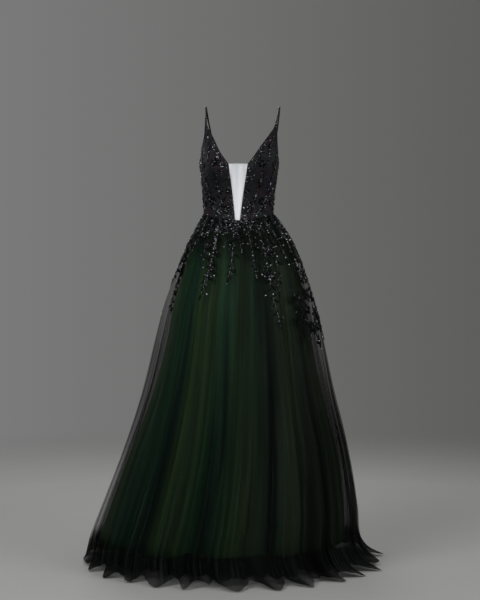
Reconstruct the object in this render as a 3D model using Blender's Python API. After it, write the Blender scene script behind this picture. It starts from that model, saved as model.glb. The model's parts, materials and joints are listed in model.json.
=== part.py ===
"""A floor-length evening gown: a plunging strapped bodice on a full skirt of black tulle over green.

Lengths are in metres. Heights are measured up from the floor that the hem reaches. The model's origin
is midway between the straps, where they lie on top of the shoulders. +Z is up, the wearer faces -Y,
and the wearer's left is +X. A round angle runs from 0 at the centre front through +90 degrees at the
wearer's left side to 180 at the centre back.
"""

import math
from collections import namedtuple

import bmesh
import bpy
from mathutils import Vector

# ---------------------------------------------------------------- driving sizes
SHOULDER_HEIGHT = 1.541
WAIST_HEIGHT = 1.190
WAIST_DIP = 0.022
STRAP_JOIN_HEIGHT = 1.479
UNDERARM_HEIGHT = 1.390
INSERT_TOP_HEIGHT = 1.353
BACK_NECK_HEIGHT = 1.322
BACK_STRAP_HEIGHT = 1.395
LINING_HEM_HEIGHT = 0.095
SECOND_HEM_HEIGHT = 0.016

BODICE_WALL = 0.0020
INSERT_WALL = 0.0010
CLOTH_WALL = 0.0010
SEAM_GAP = 0.0003

TORSO_ROUNDNESS = 2.3
SKIRT_ROUNDNESS = 2.0
TORSO_TURN = 0.035

BUST_ANGLE = 0.615
BUST_HEIGHT = 1.340
BUST_DEPTH = 0.038
BUST_SPREAD = 0.44
BUST_RISE = 0.074
BUST_FALL = 0.054
BUST_OUTWARD = 0.12

FRONT_COLUMNS = 11
BACK_COLUMNS = 9
BACK_ROWS = 8
INSERT_LAP_COLUMNS = 1
INSERT_SINK = 0.0006
INSERT_COLUMNS = 6
STRAP_RADIUS = 0.0026
STRAP_POINTS = 17
STRAP_BACK_COLUMN = 4

LACE_LIFT = 0.0004
LACE_LIFT_GROWTH = 0.0085
LACE_WALL = 0.0010
LACE_HOLE_BORDER = 0.22
LACE_END_SLACK = 0.008
LACE_TOP = 0.003

# The body's sections: half its width, its reach to the front and back, and how far it leans to +X.
TorsoSection = namedtuple("TorsoSection", "height half_width front back lean")
TORSO = (
    TorsoSection(1.150, 0.1155, 0.0880, 0.0800, -0.0140),
    TorsoSection(1.190, 0.1150, 0.0875, 0.0800, -0.0138),
    TorsoSection(1.257, 0.1185, 0.0920, 0.0850, -0.0128),
    TorsoSection(1.307, 0.1235, 0.0970, 0.0910, -0.0118),
    TorsoSection(1.355, 0.1290, 0.1000, 0.0960, -0.0112),
    TorsoSection(1.400, 0.1275, 0.1010, 0.0990, -0.0095),
    TorsoSection(1.440, 0.1340, 0.1000, 0.1000, -0.0050),
    TorsoSection(1.485, 0.1450, 0.0950, 0.1000, -0.0030),
)

# How far each front's inner edge, along the plunge and the neckline, lies from the centre line.
EdgePoint = namedtuple("EdgePoint", "height offset")
NECKLINE = (
    EdgePoint(1.165, 0.0060),
    EdgePoint(1.353, 0.0300),
    EdgePoint(1.387, 0.0557),
    EdgePoint(1.424, 0.0800),
    EdgePoint(1.465, 0.1066),
    EdgePoint(1.479, 0.1124),
)
ARMHOLE = (
    EdgePoint(1.390, 0.1278),
    EdgePoint(1.405, 0.1252),
    EdgePoint(1.424, 0.1212),
    EdgePoint(1.450, 0.1182),
    EdgePoint(1.479, 0.1176),
)
FRONT_ROW_HEIGHTS = (
    1.190, 1.214, 1.238, 1.264, 1.290, 1.312, 1.333, 1.353,
    1.372, 1.390, 1.405, 1.424, 1.445, 1.465, 1.479,
)

# A strap's line over the shoulder, between its seats on the front's tip and the back's top edge.
StrapPoint = namedtuple("StrapPoint", "along across depth height")
STRAP_OVER = (
    StrapPoint(0.16, 0.1175, -0.0500, 1.5120),
    StrapPoint(0.30, 0.1200, -0.0260, 1.5350),
    StrapPoint(0.42, 0.1213, 0.0000, 1.5436),
    StrapPoint(0.55, 0.1205, 0.0290, 1.5350),
    StrapPoint(0.70, 0.1160, 0.0610, 1.5000),
    StrapPoint(0.85, 0.1080, 0.0840, 1.4500),
)

# The outer tulle's outline, by the share of the way from the waist to the floor: its reach to each
# side, to the front and to the back, where its widest line lies, how deep its folds run in from that
# outline, and how far inside it the second tulle and the green lining hang.
SkirtSection = namedtuple(
    "SkirtSection", "drop right left front back middle fold second second_fold lining lining_fold"
)
SKIRT = (
    SkirtSection(0.000, 0.1289, 0.1014, 0.0880, 0.0800, 0.000, 0.0016, 0.0030, 0.0001, 0.0046, 0.0001),
    SkirtSection(0.021, 0.1428, 0.1240, 0.0980, 0.0930, 0.000, 0.0022, 0.0050, 0.0004, 0.0076, 0.0003),
    SkirtSection(0.050, 0.1626, 0.1476, 0.1100, 0.1110, 0.002, 0.0030, 0.0078, 0.0010, 0.0115, 0.0008),
    SkirtSection(0.076, 0.1800, 0.1660, 0.1200, 0.1250, 0.004, 0.0036, 0.0100, 0.0016, 0.0145, 0.0012),
    SkirtSection(0.118, 0.2000, 0.1880, 0.1330, 0.1480, 0.008, 0.0046, 0.0130, 0.0026, 0.0190, 0.0020),
    SkirtSection(0.160, 0.2210, 0.2070, 0.1450, 0.1700, 0.012, 0.0058, 0.0160, 0.0038, 0.0240, 0.0032),
    SkirtSection(0.244, 0.2600, 0.2400, 0.1640, 0.2130, 0.025, 0.0090, 0.0210, 0.0070, 0.0330, 0.0060),
    SkirtSection(0.328, 0.2880, 0.2670, 0.1790, 0.2560, 0.045, 0.0140, 0.0260, 0.0110, 0.0420, 0.0100),
    SkirtSection(0.496, 0.3400, 0.3110, 0.2040, 0.3450, 0.090, 0.0220, 0.0310, 0.0160, 0.0520, 0.0150),
    SkirtSection(0.664, 0.4080, 0.3620, 0.2260, 0.4500, 0.145, 0.0300, 0.0370, 0.0220, 0.0630, 0.0200),
    SkirtSection(0.832, 0.4870, 0.3997, 0.2470, 0.5800, 0.205, 0.0400, 0.0460, 0.0270, 0.0780, 0.0260),
    SkirtSection(0.916, 0.5260, 0.4090, 0.2580, 0.6600, 0.238, 0.0450, 0.0520, 0.0290, 0.0860, 0.0280),
    SkirtSection(0.970, 0.5430, 0.4450, 0.2680, 0.7500, 0.260, 0.0520, 0.0600, 0.0320, 0.0960, 0.0280),
    SkirtSection(1.000, 0.5560, 0.5040, 0.2900, 0.8500, 0.272, 0.0620, 0.0700, 0.0340, 0.1060, 0.0280),
)
HIP_RINGS = (0.0, 0.035, 0.090, 0.160, 0.240, 0.330)
FEW_HIP_RINGS = (0.0, 0.035, 0.160, 0.330)
LOWER_RINGS = (0.500, 0.700, 0.880, 0.965)
HEM_LIFT = 0.016

# The folds' spacing wanders: so many times all round, by so many radians each way.
Wander = namedtuple("Wander", "turns reach")
FOLD_WANDER = (Wander(4, 0.040), Wander(12, 0.015))
FOLD_UNEVENNESS = 0.24
SHORT_FOLD_LOSS = 0.45

# The share by which the layers hang closer together, in shallower folds, at the wearer's two sides.
SIDE_LOSS_RIGHT = 0.58
SIDE_LOSS_LEFT = 0.36

# One skirt layer: its number of folds all round, where its points lie in each fold, its hem, and how
# much lower that hangs at the wearer's right side; at the left it hangs lower by a share of that.
Layer = namedtuple("Layer", "name inset fold_depth folds phases rings hem_height side_dip")
LEFT_DIP_SHARE = 0.45
OVERLAY = Layer(
    "overlay", None, "fold", 26, (0.0, 0.18, 0.40, 0.60, 0.82), HIP_RINGS + LOWER_RINGS, 0.0, 0.0
)
SECOND = Layer(
    "second_tulle",
    "second",
    "second_fold",
    16,
    (0.1, 0.4, 0.6, 0.9),
    FEW_HIP_RINGS + LOWER_RINGS,
    SECOND_HEM_HEIGHT,
    0.0,
)
LINING = Layer(
    "lining",
    "lining",
    "lining_fold",
    12,
    (0.1, 0.4, 0.6, 0.9),
    FEW_HIP_RINGS + LOWER_RINGS,
    LINING_HEM_HEIGHT,
    0.045,
)

# The hip lace's points: each hangs at a round angle, so long and so wide, from a narrow band.
LacePoint = namedtuple("LacePoint", "angle length width")
LACE_BAND = 0.040
LACE_POINTS = (
    LacePoint(-176, 0.16, 14),
    LacePoint(-148, 0.28, 16),
    LacePoint(-116, 0.31, 15),
    LacePoint(-86, 0.21, 13),
    LacePoint(-60, 0.12, 10),
    LacePoint(-33, 0.25, 12),
    LacePoint(-11, 0.19, 7),
    LacePoint(2, 0.11, 6),
    LacePoint(14, 0.18, 8),
    LacePoint(30, 0.34, 11),
    LacePoint(50, 0.14, 9),
    LacePoint(67, 0.21, 10),
    LacePoint(84, 0.40, 14),
    LacePoint(120, 0.30, 15),
    LacePoint(150, 0.27, 16),
    LacePoint(176, 0.16, 14),
)

# The zip's slider and pull tab, at the top of the centre back seam.
SLIDER_WIDTH = 0.0058
SLIDER_HEIGHT = 0.0090
SLIDER_THICKNESS = 0.0018
SLIDER_BELOW_TOP = 0.0075
BRIDGE_WIDTH = 0.0020
BRIDGE_SPAN = 0.0064
BRIDGE_ROOM = 0.0022
BRIDGE_BAR = 0.0009
AXLE_OFFSET = 0.0011
AXLE_RISE = 0.0004
PULL_WIDTH = 0.0054
PULL_LENGTH = 0.0200
PULL_THICKNESS = 0.0012
PULL_EYE_WIDTH = 0.0029
PULL_EYE_LENGTH = 0.0038
PULL_END_RADIUS = 0.0022
ZIP_TAPE_HALF_ANGLE = 0.075
ZIP_TAPE_END_GAP = 0.0025
ZIP_TAPE_WALL = 0.0010


# ---------------------------------------------------------------- shared shape helpers
def read_table(rows, position):
    """Returns the row at a position in a table's first column, on a smooth curve through its rows."""
    position = min(max(position, rows[0][0]), rows[-1][0])
    end_index = next(i for i in range(1, len(rows)) if position <= rows[i][0])
    before = rows[max(end_index - 2, 0)]
    start, end = rows[end_index - 1], rows[end_index]
    beyond = rows[min(end_index + 1, len(rows) - 1)]
    span = end[0] - start[0]
    share = (position - start[0]) / span
    values = [position]
    for column in range(1, len(start)):
        slope_in = (end[column] - before[column]) / (end[0] - before[0]) * span
        slope_out = (beyond[column] - start[column]) / (beyond[0] - start[0]) * span
        jump = end[column] - start[column]
        values.append(
            start[column]
            + slope_in * share
            + (3 * jump - 2 * slope_in - slope_out) * share**2
            + (slope_in + slope_out - 2 * jump) * share**3
        )
    return type(start)(*values)


def read_straight(rows, position):
    """Returns an edge's offset at a height, on straight lines through its points."""
    for low, high in zip(rows, rows[1:]):
        if position <= high.height:
            share = (position - low.height) / (high.height - low.height)
            return low.offset + share * (high.offset - low.offset)
    return rows[-1].offset


def smooth_share(value, low, high):
    """Rises from 0 at low to 1 at high without a corner."""
    share = min(max((value - low) / (high - low), 0.0), 1.0)
    return share * share * (3 - 2 * share)


def rounded(value, roundness):
    """A sine or cosine bent to a section that is squarer than an ellipse."""
    return math.copysign(abs(value) ** (2 / roundness), value)


def make_material(name, colour, roughness, metallic=0.0, alpha=1.0):
    """Makes a material from its base colour and finish."""
    material = bpy.data.materials.new(name)
    material.use_nodes = True
    shader = material.node_tree.nodes["Principled BSDF"]
    shader.inputs["Base Color"].default_value = (*colour, 1.0)
    shader.inputs["Roughness"].default_value = roughness
    shader.inputs["Metallic"].default_value = metallic
    shader.inputs["Alpha"].default_value = alpha
    return material


def add_object(name, bm, material):
    """Turns a bmesh into a smooth-shaded object of the scene, with sharp edges where it has corners."""
    bmesh.ops.recalc_face_normals(bm, faces=bm.faces)
    if bm.calc_volume(signed=True) < 0:
        bmesh.ops.reverse_faces(bm, faces=bm.faces)
    mesh = bpy.data.meshes.new(name)
    bm.to_mesh(mesh)
    bm.free()
    mesh.shade_smooth()
    mesh.set_sharp_from_angle(angle=math.radians(50))
    mesh.materials.append(material)
    item = bpy.data.objects.new(name, mesh)
    bpy.context.scene.collection.objects.link(item)
    return item


def surface_normal(surface, across, up, step_across, step_up):
    """The outward direction of a surface that is seen from outside with across to the right."""
    along = surface(across + step_across, up) - surface(across - step_across, up)
    rise = surface(across, up + step_up) - surface(across, up - step_up)
    return along.cross(rise).normalized()


def end_columns(bm, ends):
    """Ends a flat grid at its own row in each column, with slanting edges from one to the next."""
    beyond = []
    for face in bm.faces:
        column, row = (math.floor(part) for part in face.calc_center_median()[:2])
        if row >= max(ends[column], ends[column + 1]):
            beyond.append(face)
    bmesh.ops.delete(bm, geom=beyond, context="FACES")
    corners = {(round(vertex.co.x), round(vertex.co.y)): vertex for vertex in bm.verts}
    moves = {
        vertex: corners[(column, ends[column])]
        for (column, row), vertex in corners.items()
        if row > ends[column]
    }
    bmesh.ops.weld_verts(bm, targetmap=moves)


def cut_holes(bm, holes, border):
    """Opens a hole in a flat grid's squares that are in holes, each a (column, row), inside a border."""
    squares = [
        face
        for face in bm.faces
        if tuple(math.floor(part) for part in face.calc_center_median()[:2]) in holes
    ]
    bmesh.ops.inset_individual(bm, faces=squares, thickness=border)
    bmesh.ops.delete(bm, geom=squares, context="FACES")


def cloth_wall(name, place, columns, rows, material, ends=None, holes=()):
    """Makes a closed wall of cloth.

    A flat grid of columns by rows is cut to shape and given two sides. Then place(column, row, side)
    puts each of its points, with side 0 on the outside and 1 on the inside.
    """
    bm = bmesh.new()
    bmesh.ops.create_grid(bm, x_segments=columns, y_segments=rows, size=0.5)
    for vertex in bm.verts:
        vertex.co.x = round((vertex.co.x + 0.5) * columns)
        vertex.co.y = round((vertex.co.y + 0.5) * rows)
    if ends:
        end_columns(bm, ends)
    cut_holes(bm, holes, LACE_HOLE_BORDER)
    bmesh.ops.triangulate(bm, faces=bm.faces[:], quad_method="FIXED")
    grown = bmesh.ops.extrude_face_region(bm, geom=bm.faces[:], use_keep_orig=True)
    inside = [part for part in grown["geom"] if isinstance(part, bmesh.types.BMVert)]
    bmesh.ops.translate(bm, verts=inside, vec=(0, 0, 1))
    for vertex in bm.verts:
        vertex.co = place(vertex.co.x, vertex.co.y, vertex.co.z)
    return add_object(name, bm, material)


def make_box(name, centre, size, material):
    """Makes a box from its centre and its size along each axis."""
    bm = bmesh.new()
    bmesh.ops.create_cube(bm, size=1.0)
    bmesh.ops.scale(bm, vec=size, verts=bm.verts)
    bmesh.ops.translate(bm, vec=centre, verts=bm.verts)
    return add_object(name, bm, material)


def apply_boolean(item, other, operation):
    """Cuts other from item, or joins it on, and hides it from the render."""
    modifier = item.modifiers.new(operation.title(), "BOOLEAN")
    modifier.operation = operation
    modifier.object = other
    other.hide_render = True
    other.display_type = "WIRE"


# ---------------------------------------------------------------- the bodice
def bust(angle, height):
    """How far the two cups stand out from the chest, from 0 to 1, and on which side."""
    side = 1.0 if angle > 0 else -1.0
    reach = BUST_RISE if height > BUST_HEIGHT else BUST_FALL
    turned = (abs(angle) - BUST_ANGLE) / BUST_SPREAD
    raised = (height - BUST_HEIGHT) / reach
    return math.exp(-turned * turned - raised * raised), side


def torso_point(angle, height):
    """The bodice's outside at a round angle and height."""
    section = read_table(TORSO, height)
    depth = section.front if math.cos(angle) > 0 else section.back
    x = section.half_width * rounded(math.sin(angle), TORSO_ROUNDNESS)
    y = -depth * rounded(math.cos(angle), TORSO_ROUNDNESS)
    fullness, side = bust(angle, height)
    x += side * BUST_OUTWARD * BUST_DEPTH * fullness
    y -= BUST_DEPTH * fullness
    return Vector((section.lean + x + TORSO_TURN * y, y, height - SHOULDER_HEIGHT))


def torso_wall_point(angle, height, depth):
    """A point that lies depth inside the bodice's outside."""
    normal = surface_normal(torso_point, angle, height, 0.01, 0.002)
    return torso_point(angle, height) - depth * normal


def angle_at(offset, height):
    """The round angle at which the torso is this far to the side of its centre line."""
    half_width = read_table(TORSO, height).half_width
    return math.asin(min(offset / half_width, 1.0) ** (TORSO_ROUNDNESS / 2))


def waist_seam(angle):
    """The waist seam's height, which dips to the centre front."""
    return WAIST_HEIGHT - WAIST_DIP * max(math.cos(angle), 0.0) ** 2


def side_angle(height):
    """The angle of a front's outer edge: the side seam, then the armhole above the underarm."""
    if height <= UNDERARM_HEIGHT:
        return math.pi / 2
    return angle_at(read_straight(ARMHOLE, height), height)


def front_point(side, share, row, depth):
    """A point of one front, at a share of the way from its inner to its outer edge, on one row."""
    level = FRONT_ROW_HEIGHTS[row]
    inner_edge = angle_at(read_straight(NECKLINE, level), level)
    outer_edge = side_angle(level) - SEAM_GAP / 2 / TORSO[0].half_width
    angle = inner_edge + share * (outer_edge - inner_edge)
    fade = (1 - row / (len(FRONT_ROW_HEIGHTS) - 1)) ** 2
    height = level - fade * (WAIST_HEIGHT - waist_seam(angle)) + SEAM_GAP / 2
    return torso_wall_point(side * angle, height, depth)


def front_panel(name, side, material):
    """One front of the bodice, from the plunge and neckline to the side seam and armhole."""

    def place(column, row, inner):
        share = column / FRONT_COLUMNS if side > 0 else 1 - column / FRONT_COLUMNS
        return front_point(side, share, round(row), BODICE_WALL * inner)

    return cloth_wall(name, place, FRONT_COLUMNS, len(FRONT_ROW_HEIGHTS) - 1, material)


def back_top(share):
    """The back's top edge, from the side seam at 0 to the centre back at 1."""
    return BACK_STRAP_HEIGHT - (BACK_STRAP_HEIGHT - BACK_NECK_HEIGHT) * smooth_share(share, 0.48, 1.0)


def back_panel(name, side, material):
    """One back of the bodice, from the side seam to the zip at the centre back."""
    half_gap = SEAM_GAP / 2 / TORSO[0].back

    def place(column, row, inner):
        share = column / BACK_COLUMNS if side > 0 else 1 - column / BACK_COLUMNS
        angle = math.pi / 2 + half_gap + share * (math.pi / 2 - 2 * half_gap)
        height = WAIST_HEIGHT + SEAM_GAP / 2 + row / BACK_ROWS * (back_top(share) - WAIST_HEIGHT)
        return torso_wall_point(side * angle, height, BODICE_WALL * inner)

    return cloth_wall(name, place, BACK_COLUMNS, BACK_ROWS, material)


def plunge_insert(name, material):
    """The sheer panel, sewn behind the fronts' inner edges and stretched flat between them."""
    rows = FRONT_ROW_HEIGHTS.index(INSERT_TOP_HEIGHT)
    lap_share = INSERT_LAP_COLUMNS / FRONT_COLUMNS

    def place(column, row, inner):
        sunk = BODICE_WALL + INSERT_SINK + INSERT_WALL * inner
        if column in (0, INSERT_COLUMNS):
            return front_point(-1 if column == 0 else 1, lap_share, round(row), sunk)
        start, end = front_point(-1, 0.0, round(row), sunk), front_point(1, 0.0, round(row), sunk)
        return start.lerp(end, (column - 1) / (INSERT_COLUMNS - 2))

    return cloth_wall(name, place, INSERT_COLUMNS, rows, material)


def strap_seats(side):
    """Where a strap meets the bodice: the middle of the front's tip and of the back's top edge."""
    tip_row = len(FRONT_ROW_HEIGHTS) - 1
    tip_corners = [front_point(side, share, tip_row, BODICE_WALL / 2) for share in (0.0, 1.0)]
    share = STRAP_BACK_COLUMN / BACK_COLUMNS
    back_seat = torso_wall_point(side * math.pi / 2 * (1 + share), back_top(share), BODICE_WALL / 2)
    return tip_corners[0].lerp(tip_corners[1], 0.5), back_seat


def strap(name, side, material):
    """A narrow round strap over one shoulder, from the front's tip to the back's top edge."""
    seats = strap_seats(side)
    route = [StrapPoint(0.0, *seats[0])]
    for point in STRAP_OVER:
        x = side * point.across + TORSO_TURN * point.depth
        route.append(StrapPoint(point.along, x, point.depth, point.height - SHOULDER_HEIGHT))
    route.append(StrapPoint(1.0, *seats[1]))
    points = [Vector(read_table(route, i / (STRAP_POINTS - 1))[1:]) for i in range(STRAP_POINTS)]
    for end, inward in ((0, 1), (-1, -2)):
        direction = (points[inward] - points[end]).normalized()
        points[end] += (SEAM_GAP + STRAP_RADIUS * direction.xy.length) * direction

    curve = bpy.data.curves.new(name, "CURVE")
    curve.dimensions = "3D"
    curve.bevel_depth = STRAP_RADIUS
    curve.bevel_resolution = 2
    curve.use_fill_caps = True
    spline = curve.splines.new("POLY")
    spline.points.add(STRAP_POINTS - 1)
    for spline_point, point in zip(spline.points, points):
        spline_point.co = (*point, 1.0)
    curve.materials.append(material)
    item = bpy.data.objects.new(name, curve)
    bpy.context.scene.collection.objects.link(item)
    return item


# ---------------------------------------------------------------- the skirt
def round_angle(fold_place, folds):
    """The round angle of a place counted in folds, with the folds spaced unevenly."""
    even = 2 * math.pi * fold_place / folds
    return even + sum(wander.reach * math.sin(wander.turns * even) for wander in FOLD_WANDER)


def fold_share(fold_place, drop, folds):
    """How much of its full depth a fold has: no two are alike, and every third starts lower down."""
    uneven = 1 - FOLD_UNEVENNESS * (1 + math.sin(1.9 * fold_place)) / 2
    uneven -= FOLD_UNEVENNESS * (1 + math.cos(3.1 * fold_place + folds)) / 3
    short = (1 + math.cos(2 * math.pi * fold_place / 3)) / 2
    return uneven * (1 - SHORT_FOLD_LOSS * short * (1 - smooth_share(drop, 0.2, 0.7)))


def side_share(angle, drop):
    """The share of its folds and inset that a layer keeps at a round angle."""
    loss = SIDE_LOSS_LEFT if math.sin(angle) > 0 else SIDE_LOSS_RIGHT
    return 1 - loss * math.sin(angle) ** 4 * smooth_share(drop, 0.3, 0.75)


def skirt_point(layer, fold_place, drop):
    """The outside of a skirt layer, at a place counted in folds and a share of the way to the floor."""
    section = read_table(SKIRT, drop)
    angle = round_angle(fold_place, layer.folds)
    wave = (1 - math.cos(2 * math.pi * fold_place)) / 2
    depth = getattr(section, layer.fold_depth) * fold_share(fold_place, drop, layer.folds)
    inset = wave * depth + (getattr(section, layer.inset) if layer.inset else 0.0)
    inset *= side_share(angle, drop)
    roundness = TORSO_ROUNDNESS + (SKIRT_ROUNDNESS - TORSO_ROUNDNESS) * smooth_share(drop, 0.0, 0.2)
    half_width = (section.left + section.right) / 2
    centre = (section.left - section.right) / 2
    depth_here = section.front + section.middle if math.cos(angle) > 0 else section.back - section.middle
    sine, cosine = math.sin(angle), math.cos(angle)
    x = centre + (half_width - inset) * rounded(sine, roundness)
    y = section.middle - (depth_here - inset) * rounded(cosine, roundness)
    x += TORSO_TURN * y * (1 - smooth_share(drop, 0.0, 0.1))
    height = waist_seam(angle) * (1 - drop)
    return Vector((x, y, height - SHOULDER_HEIGHT))


def skirt_normal(layer, fold_place, drop):
    """The outward direction of a skirt layer."""
    here = min(max(drop, 0.004), 0.996)

    def surface(across, down):
        return skirt_point(layer, across, down)

    return -surface_normal(surface, fold_place, here, 0.03, 0.004)


def fold_columns(layer, first, last):
    """The places of a panel's columns, counted in folds, from one seam to the other."""
    inside = [
        whole + phase
        for whole in range(math.floor(first), math.ceil(last))
        for phase in layer.phases
        if first + 0.05 < whole + phase < last - 0.05
    ]
    return [first, *inside, last]


def hem_drop(layer, fold_place):
    """How far down a layer's hem comes, with its folds' ridges the lowest."""
    wave = (1 - math.cos(2 * math.pi * fold_place)) / 2
    lift = HEM_LIFT * wave * fold_share(fold_place, 1.0, layer.folds)
    sine = math.sin(round_angle(fold_place, layer.folds))
    dip = layer.side_dip * sine**2 * (LEFT_DIP_SHARE if sine > 0 else 1.0)
    return 1 - (layer.hem_height + lift - dip) / WAIST_HEIGHT


def skirt_panel(name, layer, first, last, material):
    """One panel of a skirt layer between two seams, whose places are shares of the way round."""
    places = fold_columns(layer, first * layer.folds, last * layer.folds)
    drops = [drop for drop in layer.rings if drop < 1 - layer.hem_height / WAIST_HEIGHT - 0.02]
    rows = len(drops)

    def place(column, row, inner):
        fold_place = places[round(column)]
        drop = drops[round(row)] if row < rows else hem_drop(layer, fold_place)
        point = skirt_point(layer, fold_place, drop)
        along = skirt_point(layer, fold_place + 0.02, drop) - skirt_point(layer, fold_place - 0.02, drop)
        inwards = {0: 1, len(places) - 1: -1}.get(column, 0)
        point += SEAM_GAP / 2 * inwards * along.normalized()
        point.z -= SEAM_GAP / 2 * (row == 0)
        return point - CLOTH_WALL * inner * skirt_normal(layer, fold_place, drop)

    return cloth_wall(name, place, len(places) - 1, rows, material)


def skirt_layer(layer, material):
    """The front panel and the two back panels of one skirt layer."""
    for part, first, last in (("front", -0.25, 0.25), ("back_left", 0.25, 0.5), ("back_right", -0.5, -0.25)):
        skirt_panel(f"{layer.name}_{part}", layer, first, last, material)


def lace_length(angle):
    """How far the hip lace hangs below the waist seam at a round angle."""
    degrees = math.degrees(angle)
    longest = 0.0
    for tip in LACE_POINTS:
        away = abs(degrees - tip.angle) / tip.width
        if away < 1:
            leaf = (1 - away) ** 0.8
            longest = max(longest, (tip.length - LACE_BAND) * leaf)
    return LACE_BAND + longest


def overlay_line_point(fold_place, drop):
    """A point on the straight lines that join the outer tulle's rings at one place round it."""
    for high, low in zip(OVERLAY.rings, OVERLAY.rings[1:]):
        if drop <= low:
            share = (drop - high) / (low - high)
            return skirt_point(OVERLAY, fold_place, high).lerp(skirt_point(OVERLAY, fold_place, low), share)
    return skirt_point(OVERLAY, fold_place, 1.0)


def hip_lace(name, first, last, material):
    """The pointed lace on one hip: the outer tulle's points, moved out, down to its leaves' ends."""
    places = fold_columns(OVERLAY, first * OVERLAY.folds, last * OVERLAY.folds)
    columns = len(places) - 1
    rows = len(HIP_RINGS) - 1
    lengths = [lace_length(round_angle(place, OVERLAY.folds)) / WAIST_HEIGHT for place in places]
    ends = [
        next(row for row in range(1, rows + 1) if length < HIP_RINGS[row] + LACE_END_SLACK)
        for length in lengths
    ]

    def corner(column, row, inner):
        fold_place = places[column]
        drop = lengths[column] if row >= ends[column] else max(HIP_RINGS[row], LACE_TOP)
        lift = LACE_LIFT + LACE_LIFT_GROWTH * math.sqrt(drop) + LACE_WALL * (1 - inner)
        along = skirt_point(OVERLAY, fold_place + 0.02, drop) - skirt_point(OVERLAY, fold_place - 0.02, drop)
        inwards = {0: 1, columns: -1}.get(column, 0)
        point = overlay_line_point(fold_place, drop) + SEAM_GAP / 2 * inwards * along.normalized()
        return point + lift * skirt_normal(OVERLAY, fold_place, drop)

    def place(column, row, inner):
        left, high = min(math.floor(column), columns - 1), min(math.floor(row), rows - 1)
        across, down = column - left, row - high
        upper = corner(left, high, inner).lerp(corner(left + 1, high, inner), across)
        lower = corner(left, high + 1, inner).lerp(corner(left + 1, high + 1, inner), across)
        return upper.lerp(lower, down)

    holes = {
        (column, row)
        for column in range(1, columns - 1)
        for row in range(1, min(ends[column], ends[column + 1]))
        if (column + 2 * row) % 4 == 0
    }
    return cloth_wall(name, place, columns, rows, material, ends, holes)


# ---------------------------------------------------------------- the zip
def zip_place(height, out):
    """A point on the centre back line, so far out from the bodice."""
    return torso_point(math.pi, height) + Vector((0, out, 0))


def zip_tape(name, material):
    """The zip's tape, behind the centre back seam."""
    columns, rows = 4, 6
    low, high = WAIST_HEIGHT + ZIP_TAPE_END_GAP, BACK_NECK_HEIGHT - ZIP_TAPE_END_GAP

    def place(column, row, inner):
        height = low + row / rows * (high - low)
        angle = math.pi + ZIP_TAPE_HALF_ANGLE * (1 - 2 * column / columns)
        sunk = BODICE_WALL + 2 * SEAM_GAP + ZIP_TAPE_WALL * inner
        return torso_wall_point(angle, height, sunk)

    return cloth_wall(name, place, columns, rows, material)


def zip_slider(material):
    """The slider: a flat body with a bridge that the pull tab's eye hangs on."""
    height = BACK_NECK_HEIGHT - SLIDER_BELOW_TOP
    base = zip_place(height, 2 * SEAM_GAP + SLIDER_THICKNESS / 2)
    slider = make_box("zip_slider", base, (SLIDER_WIDTH, SLIDER_THICKNESS, SLIDER_HEIGHT), material)
    top = base + Vector((0, SLIDER_THICKNESS / 2, 0))
    reach = BRIDGE_ROOM + BRIDGE_BAR
    root = SLIDER_THICKNESS / 3
    block = make_box(
        "bridge_block",
        top + Vector((0, (reach - root) / 2, 0)),
        (BRIDGE_WIDTH, reach + root, BRIDGE_SPAN),
        material,
    )
    room = make_box(
        "bridge_room",
        top + Vector((0, BRIDGE_ROOM / 2, 0)),
        (2 * BRIDGE_WIDTH, BRIDGE_ROOM, BRIDGE_SPAN - 2 * BRIDGE_BAR),
        material,
    )
    apply_boolean(slider, block, "UNION")
    apply_boolean(slider, room, "DIFFERENCE")
    return top


def zip_pull(top, material):
    """The pull tab, which hangs from its axle under the slider's bridge. Its origin is on the axle."""
    axle = top + Vector((0, AXLE_OFFSET, AXLE_RISE))
    drop = PULL_LENGTH / 2 - PULL_THICKNESS / 2
    bm = bmesh.new()
    bmesh.ops.create_cube(bm, size=1.0)
    bmesh.ops.scale(bm, vec=(PULL_WIDTH, PULL_THICKNESS, PULL_LENGTH), verts=bm.verts)
    bmesh.ops.translate(bm, vec=(0, 0, -drop), verts=bm.verts)
    corners = [
        edge
        for edge in bm.edges
        if abs((edge.verts[0].co - edge.verts[1].co).y) > PULL_THICKNESS / 2 and edge.verts[0].co.z < -drop
    ]
    bmesh.ops.bevel(bm, geom=corners, offset=PULL_END_RADIUS, segments=5, profile=0.5, affect="EDGES")
    pull = add_object("zip_pull", bm, material)
    pull.location = axle
    eye = make_box(
        "pull_eye",
        (0, 0, -PULL_THICKNESS / 2 - PULL_EYE_LENGTH / 2),
        (PULL_EYE_WIDTH, 4 * PULL_THICKNESS, PULL_EYE_LENGTH),
        material,
    )
    eye.location = axle
    apply_boolean(pull, eye, "DIFFERENCE")


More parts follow.
